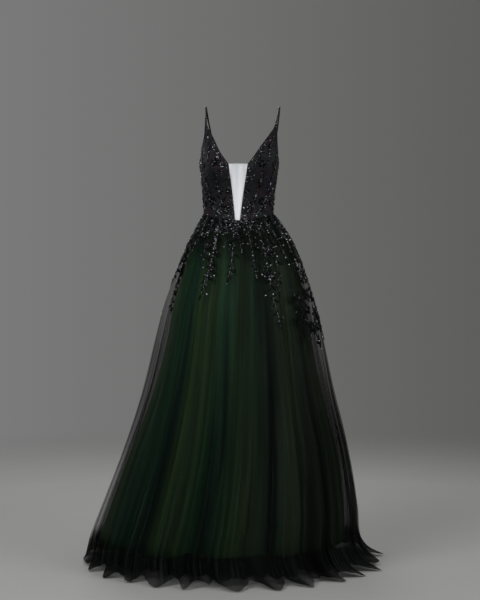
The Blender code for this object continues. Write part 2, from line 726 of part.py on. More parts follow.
# ---------------------------------------------------------------- the gown
def build():
    """Clears the scene and builds every piece of the gown."""
    for item in list(bpy.data.objects):
        bpy.data.objects.remove(item)

    lace = make_material("black_lace", (0.012, 0.012, 0.014), 0.55)
    net = make_material("pale_net", (0.72, 0.72, 0.75), 0.60, alpha=0.85)
    satin = make_material("black_satin", (0.010, 0.010, 0.012), 0.35)
    tulle = make_material("black_tulle", (0.010, 0.011, 0.012), 0.60, alpha=0.45)
    green = make_material("green_lining", (0.012, 0.050, 0.024), 0.40)
    metal = make_material("black_metal", (0.020, 0.020, 0.022), 0.30, metallic=0.9)

    front_panel("bodice_front_left", 1, lace)
    front_panel("bodice_front_right", -1, lace)
    back_panel("bodice_back_left", 1, lace)
    back_panel("bodice_back_right", -1, lace)
    plunge_insert("plunge_insert", net)
    strap("strap_left", 1, satin)
    strap("strap_right", -1, satin)

    skirt_layer(OVERLAY, tulle)
    skirt_layer(SECOND, tulle)
    skirt_layer(LINING, green)
    hip_lace("hip_lace_left", 0.0, 0.5, lace)
    hip_lace("hip_lace_right", -0.5, 0.0, lace)

    zip_tape("zip_tape", satin)
    zip_pull(zip_slider(metal), metal)


build()
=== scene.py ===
"""A black and green tulle gown on its frame: its cloth, lace, beads, straps and zip, with their finishes.

Lengths are in metres in the frame's axes: +Z is up, the wearer faces -Y and the wearer's left is +X.
Heights are measured up from the floor. A round angle runs from 0 at the centre front through +90
degrees at the wearer's left to 180 at the centre back, and a turn is the share of the way round.
A drop is the share of the way from the waist seam to the floor.
"""

import json
import logging
import math
from dataclasses import dataclass
from enum import Enum
from functools import cache, cached_property
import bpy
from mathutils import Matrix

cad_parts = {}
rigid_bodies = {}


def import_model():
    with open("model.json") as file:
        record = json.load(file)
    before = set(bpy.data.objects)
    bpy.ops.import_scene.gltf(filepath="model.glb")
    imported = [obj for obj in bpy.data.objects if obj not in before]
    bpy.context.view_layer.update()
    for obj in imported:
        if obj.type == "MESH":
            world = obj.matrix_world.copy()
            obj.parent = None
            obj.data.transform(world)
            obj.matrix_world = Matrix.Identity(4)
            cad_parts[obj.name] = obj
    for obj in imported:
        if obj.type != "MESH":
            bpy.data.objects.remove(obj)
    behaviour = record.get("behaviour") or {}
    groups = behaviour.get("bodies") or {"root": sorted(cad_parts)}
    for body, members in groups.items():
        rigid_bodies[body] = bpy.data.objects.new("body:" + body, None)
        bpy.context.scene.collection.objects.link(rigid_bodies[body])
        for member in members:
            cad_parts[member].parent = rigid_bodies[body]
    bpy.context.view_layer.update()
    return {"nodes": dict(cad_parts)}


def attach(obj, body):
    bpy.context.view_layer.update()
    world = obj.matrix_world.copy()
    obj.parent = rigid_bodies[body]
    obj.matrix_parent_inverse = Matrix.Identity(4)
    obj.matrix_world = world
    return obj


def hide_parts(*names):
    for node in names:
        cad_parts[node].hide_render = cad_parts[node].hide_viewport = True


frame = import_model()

from types import SimpleNamespace
from typing import Any, Callable, ClassVar, NamedTuple, Sequence

import bmesh
import bpy
import numpy as np
from mathutils import Matrix, Vector

LOG = logging.getLogger("gown")
GOWN_BODY = "gown"
SHOULDER_HEIGHT = 1.541
FULL_TURN = 2 * math.pi
SIDES = (("left", 1), ("right", -1))
Array = np.ndarray
Colour = tuple[float, float, float]
Point = tuple[float, float, float]
Place = Callable[[Array, Array], Array]
Value = Any
Inputs = dict[str | int, Value]
Mesh = bpy.types.Mesh
Piece = bpy.types.Object
Material = bpy.types.Material
NodeTree = bpy.types.NodeTree


# ---------------------------------------------------------------- reading sizes and noise
class SmoothTable:
    """A table of named columns, read on a smooth curve through its rows."""

    def __init__(self, names: str, rows: Sequence[Sequence[float]]) -> None:
        """Keeps the names of the columns after the first, and rows that each start with their position."""
        values = np.array(rows, float)
        self.names = names.split()
        self.start = values[:, 0]
        self.columns = values[:, 1:]

    def at(self, position: Array) -> SimpleNamespace:
        """Reads every column at the positions.

        Args:
            position: where to read, in the first column's measure.

        Returns:
            One array for each named column.
        """
        x, y = self.start, self.columns
        position = np.clip(position, x[0], x[-1])
        end = np.clip(np.searchsorted(x, position), 1, len(x) - 1)
        start, before, beyond = end - 1, np.maximum(end - 2, 0), np.minimum(end + 1, len(x) - 1)
        span = x[end] - x[start]
        share = ((position - x[start]) / span)[..., None]
        slope_in = (y[end] - y[before]) * (span / (x[end] - x[before]))[..., None]
        slope_out = (y[beyond] - y[start]) * (span / (x[beyond] - x[start]))[..., None]
        jump = y[end] - y[start]
        curve = y[start] + slope_in * share + (3 * jump - 2 * slope_in - slope_out) * share**2
        curve += (slope_in + slope_out - 2 * jump) * share**3
        return SimpleNamespace(**dict(zip(self.names, np.moveaxis(curve, -1, 0))))


class SoftNoise:
    """Smooth seeded noise from -1 to 1 that closes on itself all round the gown."""

    def __init__(self, seed: int, around: int, along: int) -> None:
        """Draws so many cells of noise all round and from the top to the bottom."""
        draw = np.random.default_rng(seed)
        self.values = draw.uniform(-1, 1, (around, along + 2))

    def at(self, turn: Array, down: Array) -> Array:
        """Reads the noise.

        Args:
            turn: shares of the way round.
            down: shares of the way down.

        Returns:
            The values there.
        """
        around, along = self.values.shape
        x = np.mod(turn, 1.0) * around
        y = np.clip(down, 0, 1) * (along - 2)
        column, row = np.floor(x).astype(int), np.floor(y).astype(int)
        across, below = smooth(x - column, 0, 1), smooth(y - row, 0, 1)
        left, right = column % around, (column + 1) % around
        upper = self.values[left, row] * (1 - across) + self.values[right, row] * across
        lower = self.values[left, row + 1] * (1 - across) + self.values[right, row + 1] * across
        return upper * (1 - below) + lower * below


def smooth(value: Array, low: float, high: float) -> Array:
    """Rises from 0 at low to 1 at high without a corner."""
    share = np.clip((value - low) / (high - low), 0, 1)
    return share * share * (3 - 2 * share)


def rounded(value: Array, roundness: Array | float) -> Array:
    """A sine or cosine bent to a section that is squarer than an ellipse."""
    return np.copysign(np.abs(value) ** (2 / roundness), value)


def unit(vectors: Array) -> Array:
    """The vectors at length one."""
    return vectors / np.maximum(np.linalg.norm(vectors, axis=-1, keepdims=True), 1e-9)


def hump(value: Array, centre: float, reach: float) -> Array:
    """A soft bell of height one."""
    return np.exp(-(((value - centre) / reach) ** 2))


def wave(place: Array) -> Array:
    """A wave from 0 at whole numbers to 1 halfway between them."""
    return (1 - np.cos(FULL_TURN * place)) / 2


def run_along(path: Array) -> Array:
    """How far along a path each of its points lies."""
    return np.concatenate([[0], np.cumsum(np.linalg.norm(np.diff(path, axis=0), axis=1))])


@dataclass(frozen=True)
class Ridge:
    """A soft ridge: where it runs, how wide it is, and how far it stands out or, below 0, in."""

    at: float
    width: float
    height: float


def raised(value: Array, ridges: Sequence[Ridge]) -> Array:
    """How far ridges that lie side by side stand out."""
    return sum(ridge.height * hump(value, ridge.at, ridge.width) for ridge in ridges)


# ---------------------------------------------------------------- the gown's form
@dataclass(frozen=True)
class Torso:
    """The bodice's outside, with its seams and creases."""

    waist: float = 1.190
    waist_dip: float = 0.022
    strap_join: float = 1.479
    underarm: float = 1.390
    insert_top: float = 1.353
    back_neck: float = 1.322
    back_strap: float = 1.395
    roundness: float = 2.3
    turned: float = 0.035
    bust_angle: float = 0.615
    bust_height: float = 1.340
    bust_depth: float = 0.038
    bust_spread: float = 0.44
    bust_rise: float = 0.074
    bust_fall: float = 0.054
    bust_outward: float = 0.12
    sections: SmoothTable = SmoothTable(
        "half_width front back lean",
        (
            (1.150, 0.1155, 0.0880, 0.0800, -0.0140),
            (1.190, 0.1150, 0.0875, 0.0800, -0.0138),
            (1.257, 0.1185, 0.0920, 0.0850, -0.0128),
            (1.307, 0.1235, 0.0970, 0.0910, -0.0118),
            (1.355, 0.1290, 0.1000, 0.0960, -0.0112),
            (1.400, 0.1275, 0.1010, 0.0990, -0.0095),
            (1.440, 0.1340, 0.1000, 0.1000, -0.0050),
            (1.485, 0.1450, 0.0950, 0.1000, -0.0030),
        ),
    )
    neckline: tuple[tuple[float, ...], tuple[float, ...]] = (
        (1.165, 1.353, 1.387, 1.424, 1.465, 1.479),
        (0.0060, 0.0300, 0.0557, 0.0800, 0.1066, 0.1124),
    )
    armhole: tuple[tuple[float, ...], tuple[float, ...]] = (
        (1.390, 1.405, 1.424, 1.450, 1.479),
        (0.1278, 0.1252, 0.1212, 0.1182, 0.1176),
    )
    row_heights: tuple[float, ...] = (
        1.190, 1.214, 1.238, 1.264, 1.290, 1.312, 1.333, 1.353,
        1.372, 1.390, 1.405, 1.424, 1.445, 1.465, 1.479,
    )
    cup_angle: float = 0.60
    cup_reach: float = 0.56
    cup_seam_top: float = 1.342
    cup_seam_drop: float = 0.058
    cup_seam: tuple[Ridge, ...] = (Ridge(0.0, 0.0022, -0.0009), Ridge(0.0055, 0.0035, 0.0007))
    princess_angle: float = 0.44
    princess_slant: float = 0.9
    princess_top: float = 1.285
    princess_seam: tuple[Ridge, ...] = (Ridge(0.0, 0.018, -0.0008),)
    back_seam: tuple[Ridge, ...] = (Ridge(2.22, 0.016, -0.0007),)
    crease_height: float = 1.262
    crease_slant: float = 0.055
    creases: tuple[Ridge, ...] = (
        Ridge(0.0, 0.0045, 1.0), Ridge(0.017, 0.0040, 0.8),
        Ridge(-0.019, 0.0050, 0.9), Ridge(-0.037, 0.0048, 0.5),
    )
    crease_relief: tuple[float, float] = (0.0019, 0.0009)
    waist_folds: tuple[Ridge, ...] = (Ridge(1.215, 0.006, 0.0009), Ridge(1.236, 0.007, 0.00063))
    side_gap: float = 0.0013
    back_side_gap: float = 0.0019
    waist_gap: float = 0.0002

    def bare(self, angle: Array, height: Array) -> Array:
        """The outside without seams and creases.

        Args:
            angle: round angles.
            height: heights.

        Returns:
            The points.
        """
        section = self.sections.at(height)
        depth = np.where(np.cos(angle) > 0, section.front, section.back)
        side = np.where(angle > 0, 1.0, -1.0)
        reach = np.where(height > self.bust_height, self.bust_rise, self.bust_fall)
        full = np.exp(
            -(((np.abs(angle) - self.bust_angle) / self.bust_spread) ** 2)
            - ((height - self.bust_height) / reach) ** 2
        )
        x = section.half_width * rounded(np.sin(angle), self.roundness)
        y = -depth * rounded(np.cos(angle), self.roundness) - self.bust_depth * full
        x = section.lean + x + side * self.bust_outward * self.bust_depth * full + self.turned * y
        return np.stack([x, y, height - SHOULDER_HEIGHT + 0 * y], axis=-1)

    def normal(self, angle: Array, height: Array) -> Array:
        """The outward direction of the bare outside at round angles and heights."""
        across = self.bare(angle + 0.01, height) - self.bare(angle - 0.01, height)
        up = self.bare(angle, height + 0.002) - self.bare(angle, height - 0.002)
        return unit(np.cross(across, up))

    def relief(self, angle: Array, height: Array) -> Array:
        """How far the creases stand out, and the seams in.

        Args:
            angle: round angles.
            height: heights.

        Returns:
            The distances in metres.
        """
        away = np.abs(angle)
        cup = np.sqrt(np.clip(1 - ((away - self.cup_angle) / self.cup_reach) ** 2, 0, 1))
        under_cup = raised(height - (self.cup_seam_top - self.cup_seam_drop * cup), self.cup_seam)
        under_cup = under_cup * smooth(cup, 0.05, 0.4) * smooth(1.36 - height, 0.0, 0.02)
        princess = away - (self.princess_angle + self.princess_slant * (height - self.waist))
        princess = raised(princess, self.princess_seam) * smooth(self.princess_top - height, 0.0, 0.012)
        slope = height - self.crease_height - self.crease_slant * (1.45 - away)
        creases = raised(slope, self.creases) * hump(away, 1.02, 0.34)
        creases = creases * np.where(angle < 0, *self.crease_relief)
        waist_folds = raised(height, self.waist_folds) * hump(away, 1.45, 0.32)
        return under_cup + princess + creases + waist_folds + raised(away, self.back_seam)

    def place(self, angle: Array, height: Array, out: Array | float = 0.0) -> Array:
        """Points so far out from the finished outside."""
        lift = (self.relief(angle, height) + out)[..., None]
        return self.bare(angle, height) + lift * self.normal(angle, height)

    def angle_at(self, offset: Array, height: Array) -> Array:
        """The round angle at which the torso is this far to the side of its centre line."""
        share = np.minimum(offset / self.sections.at(height).half_width, 1.0)
        return np.arcsin(share ** (self.roundness / 2))

    @cached_property
    def girth_table(self) -> tuple[Array, Array]:
        """Round angles, and how far round the torso each lies from the centre front."""
        angles = np.linspace(-math.pi, math.pi, 721)
        lengths = run_along(self.bare(angles, 1.27 + 0 * angles))
        return angles, lengths - lengths[360]

    def girth(self, angle: Array) -> Array:
        """How far round the torso a round angle lies from the centre front."""
        return np.interp(angle, *self.girth_table)

    def waist_seam(self, angle: Array) -> Array:
        """The waist seam's height, which dips to the centre front."""
        return self.waist - self.waist_dip * np.maximum(np.cos(angle), 0) ** 2

    def front_edges(self, height: Array, margin: float = 0.0) -> tuple[Array, Array]:
        """A front's inner and outer round angles at heights, a margin in metres inside its edges."""
        inner = self.angle_at(np.interp(height, *self.neckline) + margin, height)
        outer = self.angle_at(np.interp(height, *self.armhole) - margin, height)
        return inner, np.where(height <= self.underarm - margin, math.pi / 2, outer)

    def back_top(self, share: Array) -> Array:
        """The height of a back's top edge, at shares of the way from the side seam to the zip."""
        return self.back_strap - (self.back_strap - self.back_neck) * smooth(share, 0.48, 1.0)

    def covers(self, angle: Array, height: Array, margin: float = 0.0) -> Array:
        """Whether the gown's cloth lies at round angles and heights, a margin inside its edges."""
        away = np.abs(angle)
        inner, outer = self.front_edges(height, margin)
        front = (away > inner) & (away < outer) & (height < self.strap_join - margin)
        share = (away - math.pi / 2) / (math.pi / 2)
        back = (share > 0) & (height < self.back_top(share) - margin) & (math.pi - away > 0.03)
        return (height < self.waist_seam(angle)) | np.where(share > 0, back, front)

    def row_share(self, height: float) -> float:
        """The share of the front's rows up to one of their heights."""
        return self.row_heights.index(height) / (len(self.row_heights) - 1)

    def front_spot(self, share: Array, up: Array) -> tuple[Array, Array]:
        """Spots on the wearer's left front, at shares of the way from its inner edge and of its rows."""
        count = len(self.row_heights)
        level = np.interp(up * (count - 1), range(count), self.row_heights)
        inner, outer = self.front_edges(level)
        angle = inner + share * (outer - self.side_gap - inner)
        return angle, level - (1 - up) ** 2 * (self.waist - self.waist_seam(angle)) + self.waist_gap

    def back_spot(self, share: Array, up: Array) -> tuple[Array, Array]:
        """Spots on the wearer's left back, at shares of the way to the zip and up to its top edge."""
        angle = math.pi / 2 + self.back_side_gap + share * (math.pi / 2 - 2 * self.back_side_gap)
        return angle, self.waist + self.waist_gap + up * (self.back_top(share) - self.waist)


class Depth(Enum):
    """The skirt's three layers, from the outside in."""

    OUTER = "outer_tulle"
    SECOND = "dense_tulle"
    LINING = "green_lining"


@dataclass(frozen=True)
class Layer:
    """One layer: the columns with its inset and its folds' depth, and its folds and hem."""

    depth: Depth
    inset: str
    fold: str
    folds: int
    hem: float
    side_dip: float
    hem_rise: float
    tips: int
    ripple: float
    ragged: float
    seed: int


@dataclass(frozen=True)
class Skirt:
    """The skirt's form: three layers of gathered cloth in long uneven folds."""

    torso: Torso
    roundness: float = 2.0
    wander: tuple[tuple[int, float], ...] = ((4, 0.040), (12, 0.015))
    unevenness: float = 0.24
    short_loss: float = 0.45
    hem_lift: float = 0.016
    side_loss_right: float = 0.58
    side_loss_left: float = 0.36
    left_dip_share: float = 0.45
    sections: SmoothTable = SmoothTable(
        "right left front back middle fold second second_fold lining lining_fold",
        (
            (0.000, 0.1289, 0.1014, 0.0880, 0.0800, 0.000, 0.0016, 0.0030, 0.0001, 0.0046, 0.0001),
            (0.021, 0.1428, 0.1240, 0.0980, 0.0930, 0.000, 0.0022, 0.0050, 0.0004, 0.0076, 0.0003),
            (0.050, 0.1626, 0.1476, 0.1100, 0.1110, 0.002, 0.0030, 0.0078, 0.0010, 0.0115, 0.0008),
            (0.076, 0.1800, 0.1660, 0.1200, 0.1250, 0.004, 0.0036, 0.0100, 0.0016, 0.0145, 0.0012),
            (0.118, 0.2000, 0.1880, 0.1330, 0.1480, 0.008, 0.0046, 0.0130, 0.0026, 0.0190, 0.0020),
            (0.160, 0.2210, 0.2070, 0.1450, 0.1700, 0.012, 0.0058, 0.0160, 0.0038, 0.0240, 0.0032),
            (0.244, 0.2600, 0.2400, 0.1640, 0.2130, 0.025, 0.0090, 0.0210, 0.0070, 0.0330, 0.0060),
            (0.328, 0.2880, 0.2670, 0.1790, 0.2560, 0.045, 0.0140, 0.0260, 0.0110, 0.0420, 0.0100),
            (0.496, 0.3400, 0.3110, 0.2040, 0.3450, 0.090, 0.0220, 0.0310, 0.0160, 0.0520, 0.0150),
            (0.664, 0.4080, 0.3620, 0.2260, 0.4500, 0.145, 0.0300, 0.0370, 0.0220, 0.0630, 0.0200),
            (0.832, 0.4870, 0.3997, 0.2470, 0.5800, 0.205, 0.0400, 0.0460, 0.0270, 0.0780, 0.0260),
            (0.916, 0.5260, 0.4090, 0.2580, 0.6600, 0.238, 0.0450, 0.0520, 0.0290, 0.0860, 0.0280),
            (0.970, 0.5430, 0.4450, 0.2680, 0.7500, 0.260, 0.0520, 0.0600, 0.0320, 0.0960, 0.0280),
            (1.000, 0.5560, 0.5040, 0.2900, 0.8500, 0.272, 0.0620, 0.0700, 0.0340, 0.1060, 0.0280),
        ),
    )
    gather_depth: float = 0.0009

    def round_angle(self, turn: Array) -> Array:
        """The round angle at a turn, with the folds spaced unevenly."""
        even = FULL_TURN * turn
        return even + sum(reach * np.sin(times * even) for times, reach in self.wander)

    def turn_at(self, angle: Array) -> Array:
        """The turn at a round angle, by steps that close on it."""
        even = angle
        for _ in range(12):
            even = angle - sum(reach * np.sin(times * even) for times, reach in self.wander)
        return even / FULL_TURN

    def fold_share(self, fold_place: Array, drop: Array, folds: int) -> Array:
        """How much of its full depth a fold has: no two are alike, and some start lower down."""
        uneven = 1 - self.unevenness * (1 + np.sin(1.9 * fold_place)) / 2
        uneven = uneven - self.unevenness * (1 + np.cos(3.1 * fold_place + folds)) / 3
        short = (1 + np.cos(FULL_TURN * fold_place / 3)) / 2
        return uneven * (1 - self.short_loss * short * (1 - smooth(drop, 0.2, 0.7)))

    def side_share(self, angle: Array, drop: Array) -> Array:
        """The share of its folds and inset that a layer keeps: the layers hang closer at the sides."""
        loss = np.where(np.sin(angle) > 0, self.side_loss_left, self.side_loss_right)
        return 1 - loss * np.sin(angle) ** 4 * smooth(drop, 0.3, 0.75)

    def small_folds(self, layer: Layer, turn: Array, drop: Array, depth: Array) -> Array:
        """How far the small folds and the gathers at the waist run in.

        Args:
            layer: the layer.
            turn: turns.
            drop: drops.
            depth: the depth of the main folds there.

        Returns:
            The distances in metres.
        """
        place = turn * layer.folds
        drift = SoftNoise(layer.seed, 2 * layer.folds, 5).at(turn, drop)
        strength = 0.55 + 0.45 * SoftNoise(layer.seed + 1, layer.folds, 7).at(turn, drop)
        small = wave(3 * place + 0.45 * drift)
        finer = wave(7 * place + 0.9 * drift)
        ridge = 1 - 0.6 * wave(place)
        folds = ridge * layer.ripple * depth * (0.75 * small + 0.3 * finer)
        gathers = self.gather_depth * smooth(drop, 0.004, 0.04) * (1 - smooth(drop, 0.12, 0.40))
        return strength * (folds + gathers * finer)

    def point(self, layer: Layer, turn: Array, drop: Array, spread: Array | float = 0.0) -> Array:
        """The outside of a layer.

        Args:
            layer: the layer.
            turn: turns.
            drop: drops.
            spread: how far the cloth spreads outwards besides, as at its hem's points.

        Returns:
            The points.
        """
        section = vars(self.sections.at(drop))
        place = turn * layer.folds
        angle = self.round_angle(turn)
        sway = 0.10 * SoftNoise(layer.seed + 2, layer.folds, 4).at(turn, drop) * smooth(drop, 0.1, 0.6)
        fold = wave(place + sway * np.sin(FULL_TURN * turn) ** 2) ** (1 + 0.25 * smooth(drop, 0.2, 0.8))
        depth = section[layer.fold] * self.fold_share(place, drop, layer.folds)
        inset = fold * depth + self.small_folds(layer, turn, drop, section[layer.fold])
        inset = inset + (section[layer.inset] if layer.inset else 0.0)
        return self.on_section(section, angle, drop, inset * self.side_share(angle, drop) - spread)

    def on_section(self, section: dict[str, Array], angle: Array, drop: Array, inset: Array) -> Array:
        """Points inside the skirt's outline.

        Args:
            section: the outline's sizes at each drop, by name.
            angle: round angles.
            drop: drops.
            inset: how far inside the outline.

        Returns:
            The points.
        """
        roundness = self.torso.roundness + (self.roundness - self.torso.roundness) * smooth(drop, 0.0, 0.2)
        half_width = (section["left"] + section["right"]) / 2
        centre = (section["left"] - section["right"]) / 2
        sine, cosine = np.sin(angle), np.cos(angle)
        reach = np.where(
            cosine > 0, section["front"] + section["middle"], section["back"] - section["middle"]
        )
        x = centre + (half_width - inset) * rounded(sine, roundness)
        y = section["middle"] - (reach - inset) * rounded(cosine, roundness)
        x = x + self.torso.turned * y * (1 - smooth(drop, 0.0, 0.1))
        return np.stack([x, y, self.torso.waist_seam(angle) * (1 - drop) - SHOULDER_HEIGHT], axis=-1)

    def smooth_form(self, angle: Array, drop: Array) -> Array:
        """The outer layer's outline without any folds."""
        return self.on_section(vars(self.sections.at(drop)), angle, drop, 0.0 * drop)

    def hem(self, layer: Layer, turn: Array) -> tuple[Array, Array]:
        """The hem's height above the floor, and how near each place is to one of its points.

        Args:
            layer: the layer.
            turn: turns.

        Returns:
            The heights, and the nearness, from 0 between points to 1 at a point.
        """
        draw = np.random.default_rng(layer.seed + 3)
        gaps = draw.uniform(0.55, 1.45, layer.tips)
        tips = np.concatenate([[0], np.cumsum(gaps) / gaps.sum()]) - 0.5
        rises = layer.hem_rise * draw.uniform(0.35, 1.0, layer.tips)
        heights = np.append(draw.uniform(0.0, 0.25, layer.tips), 0)
        heights[-1] = heights[0]
        lean = np.exp(draw.uniform(-0.45, 0.45, layer.tips))
        at = np.mod(turn + 0.5, 1.0) - 0.5
        gap = np.clip(np.searchsorted(tips, at, side="right") - 1, 0, layer.tips - 1)
        share = np.clip((at - tips[gap]) / (tips[gap + 1] - tips[gap]), 0, 1) ** lean[gap]
        middle = (1 - np.abs(2 * share - 1)) ** 1.05
        base = heights[gap] * (1 - share) + heights[gap + 1] * share
        place = turn * layer.folds
        lift = 0.6 * self.hem_lift * wave(place) * self.fold_share(place, 1.0 + 0 * turn, layer.folds)
        height = layer.hem + rises[gap] * middle + layer.hem_rise * base * 0.4 + lift
        ragged = np.sin(FULL_TURN * 97 * turn + 4 * np.sin(FULL_TURN * 11 * turn))
        height = height + layer.ragged * (1 + ragged) * middle
        sine = np.sin(self.round_angle(turn))
        height = height - layer.side_dip * sine**2 * np.where(sine > 0, self.left_dip_share, 1.0)
        return height, (1 - middle) ** 2


@dataclass(frozen=True)
class Outside:
    """The gown's outside as one surface: the bodice above the waist seam, the outer tulle below it."""

    torso: Torso
    skirt: Skirt
    layer: Layer

    def drop(self, angle: Array, height: Array) -> Array:
        """The drop at round angles and heights."""
        return np.clip(1 - height / self.torso.waist_seam(angle), 0, 1)

    def is_bodice(self, angle: Array, height: Array) -> Array:
        """Whether each place lies above the waist seam."""
        return (height >= self.torso.waist_seam(angle))[..., None]

    def point(self, angle: Array, height: Array) -> Array:
        """The surface at round angles and heights."""
        tulle = self.skirt.point(self.layer, self.skirt.turn_at(angle), self.drop(angle, height))
        return np.where(self.is_bodice(angle, height), self.torso.place(angle, height), tulle)

    def bare(self, angle: Array, height: Array) -> Array:
        """The surface without folds and creases, which measures are taken on."""
        tulle = self.skirt.smooth_form(angle, self.drop(angle, height))
        return np.where(self.is_bodice(angle, height), self.torso.bare(angle, height), tulle)

    def measures(self, angle: Array, height: Array) -> tuple[Array, Array]:
        """Metres along the cloth for each radian round it and for each metre of height."""
        across = self.bare(angle + 0.02, height) - self.bare(angle - 0.02, height)
        up = self.bare(angle, height + 0.004) - self.bare(angle, height - 0.004)
        return np.linalg.norm(across, axis=-1) / 0.04, np.linalg.norm(up, axis=-1) / 0.008

    def lay(self, angle: Array, height: Array, local: Array) -> Array:
        """Lays flat shapes on the cloth.

        Args:
            angle: each shape's round angle, shape (n,).
            height: each shape's height, shape (n,).
            local: the shapes' points: metres across, up and out, shape (n, points, 3).

        Returns:
            The points on the cloth, shape (n, points, 3).
        """
        per_radian, per_height = (measure[:, None] for measure in self.measures(angle, height))
        round_angle = angle[:, None] + local[..., 0] / per_radian
        level = height[:, None] + local[..., 1] / per_height
        across = self.point(round_angle + 0.012, level) - self.point(round_angle - 0.012, level)
        up = self.point(round_angle, level + 0.003) - self.point(round_angle, level - 0.003)
        normal = unit(np.cross(across, up))
        return self.point(round_angle, level) + local[..., 2:] * normal


# ---------------------------------------------------------------- mesh helpers
def read_points(mesh: Mesh) -> Array:
    """A mesh's points, shape (n, 3)."""
    points = np.empty(len(mesh.vertices) * 3)
    mesh.vertices.foreach_get("co", points)
    return points.reshape(-1, 3)


def write_points(mesh: Mesh, points: Array) -> None:
    """Moves a mesh's points."""
    mesh.vertices.foreach_set("co", np.ascontiguousarray(points, float).ravel())
    mesh.update()


def write_values(mesh: Mesh, name: str, values: Array) -> None:
    """Gives each of a mesh's points a named value that its material reads."""
    attribute = mesh.attributes.new(name, "FLOAT", "POINT")
    attribute.data.foreach_set("value", np.ascontiguousarray(values, float).ravel())


def read_corners(mesh: Mesh) -> Array:
    """The number of the point at each corner of a mesh's faces."""
    corners = np.empty(len(mesh.loops), int)
    mesh.loops.foreach_get("vertex_index", corners)
    return corners


def to_mesh(bm: bmesh.types.BMesh, name: str) -> Mesh:
    """Turns a bmesh, which is used up, into a smooth-shaded mesh."""
    mesh = bpy.data.meshes.new(name)
    bm.to_mesh(mesh)
    bm.free()
    mesh.shade_smooth()
    return mesh


def add_piece(
    name: str, mesh: Mesh, finish: "Finish", slot: str, node: str | None = None
) -> Piece:
    """Adds a finished mesh to the scene as a piece that rides on the gown.

    Args:
        name: the piece's name.
        mesh: its mesh.
        finish: its finish.
        slot: not used.
        node: the solid whose place it takes, if any.

    Returns:
        The piece.
    """
    piece = bpy.data.objects.new(name, mesh)
    bpy.context.scene.collection.objects.link(piece)
    mesh.materials.append(material_of(finish))
    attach(piece, GOWN_BODY)
    if node:
        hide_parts(node)
    LOG.info("%s: %d faces", name, len(mesh.polygons))
    return piece


def cloth_grid(name: str, columns: int, rows: int, place: Place, unfold: Place) -> Mesh:
    """Makes a sheet of cloth from a flat grid.

    Args:
        name: the mesh's name.
        columns: the number of its squares across.
        rows: the number of its squares up.
        place: gives the points at shares across and up the sheet.
        unfold: gives the flat places in metres at the same shares, for its UV map.

    Returns:
        The mesh.
    """
    bm = bmesh.new()
    bm.loops.layers.uv.new("UVMap")
    bmesh.ops.create_grid(bm, x_segments=columns, y_segments=rows, size=0.5, calc_uvs=True)
    mesh = to_mesh(bm, name)
    across, up = read_points(mesh)[:, :2].T + 0.5
    write_points(mesh, place(across, up))
    mesh.uv_layers[0].data.foreach_set("uv", unfold(across, up)[read_corners(mesh)].ravel())
    return mesh


def flat_places(mesh: Mesh) -> Array:
    """Each point's place in a mesh's UV map, shape (n, 2)."""
    flat = np.empty(len(mesh.loops) * 2)
    mesh.uv_layers[0].data.foreach_get("uv", flat)
    places = np.zeros((len(mesh.vertices), 2))
    places[read_corners(mesh)] = flat.reshape(-1, 2)
    return places


def log_cloth(piece: Piece, columns: int, rows: int) -> None:
    """Logs a sheet's area, the lengths of its lower and upper edges and of its middle and side lines.

    Args:
        piece: the sheet, made by cloth_grid.
        columns: the number of its squares across.
        rows: the number of its squares up.
    """
    mesh = piece.data
    areas = np.empty(len(mesh.polygons))
    mesh.polygons.foreach_get("area", areas)
    points = read_points(mesh).reshape(rows + 1, columns + 1, 3)
    lines = points[0], points[-1], points[:, columns // 2], points[:, 0], points[:, -1]
    LOG.info(
        "%s: %.4f m2, lower edge %.3f, upper edge %.3f, middle %.3f, sides %.3f and %.3f",
        piece.name, areas.sum(), *(run_along(line)[-1] for line in lines),
    )


def add_wall(piece: Piece, thickness: float, offset: float) -> bpy.types.SolidifyModifier:
    """Gives a sheet a wall that grows inwards at an offset of -1 and both ways at 0."""
    wall = piece.modifiers.new("wall", "SOLIDIFY")
    wall.thickness = thickness
    wall.offset = offset
    return wall


def tube(name: str, path: Array, radius: Array | float, sides: int = 10) -> Mesh:
    """Makes a closed tube along a path, with its UV map in metres round and along it.

    Args:
        name: the mesh's name.
        path: the points of its middle, shape (n, 3).
        radius: its radius, or one for each point.
        sides: the number of its sides.

    Returns:
        The mesh.
    """
    count = len(path)
    radii = np.broadcast_to(radius, (count,))
    forward = unit(np.gradient(path, axis=0))
    side = unit(np.cross(forward, (0.0, 1.0, 0.02)) + 1e-6)
    above = np.cross(side, forward)
    along = run_along(path)

    def place(across: Array, up: Array) -> Array:
        """The tube's points at shares round and along it."""
        index = np.rint(up * (count - 1)).astype(int)
        turn = FULL_TURN * across
        out = np.cos(turn)[:, None] * side[index] + np.sin(turn)[:, None] * above[index]
        return path[index] + radii[index][:, None] * out

    def unfold(across: Array, up: Array) -> Array:
        """The tube's flat places at shares round and along it."""
        index = np.rint(up * (count - 1)).astype(int)
        return np.stack([across * FULL_TURN * radii.mean(), along[index]], axis=-1)

    mesh = cloth_grid(name, sides, count - 1, place, unfold)
    bm = bmesh.new()
    bm.from_mesh(mesh)
    bmesh.ops.remove_doubles(bm, verts=bm.verts, dist=1e-6)
    bmesh.ops.holes_fill(bm, edges=[edge for edge in bm.edges if edge.is_boundary], sides=sides)
    bmesh.ops.recalc_face_normals(bm, faces=bm.faces)
    bm.to_mesh(mesh)
    bm.free()
    mesh.shade_smooth()
    return mesh


def joined(name: str, meshes: Sequence[Mesh]) -> Mesh:
    """Joins meshes in order into one, and removes them."""
    bm = bmesh.new()
    for mesh in meshes:
        bm.from_mesh(mesh)
        bpy.data.meshes.remove(mesh)
    return to_mesh(bm, name)


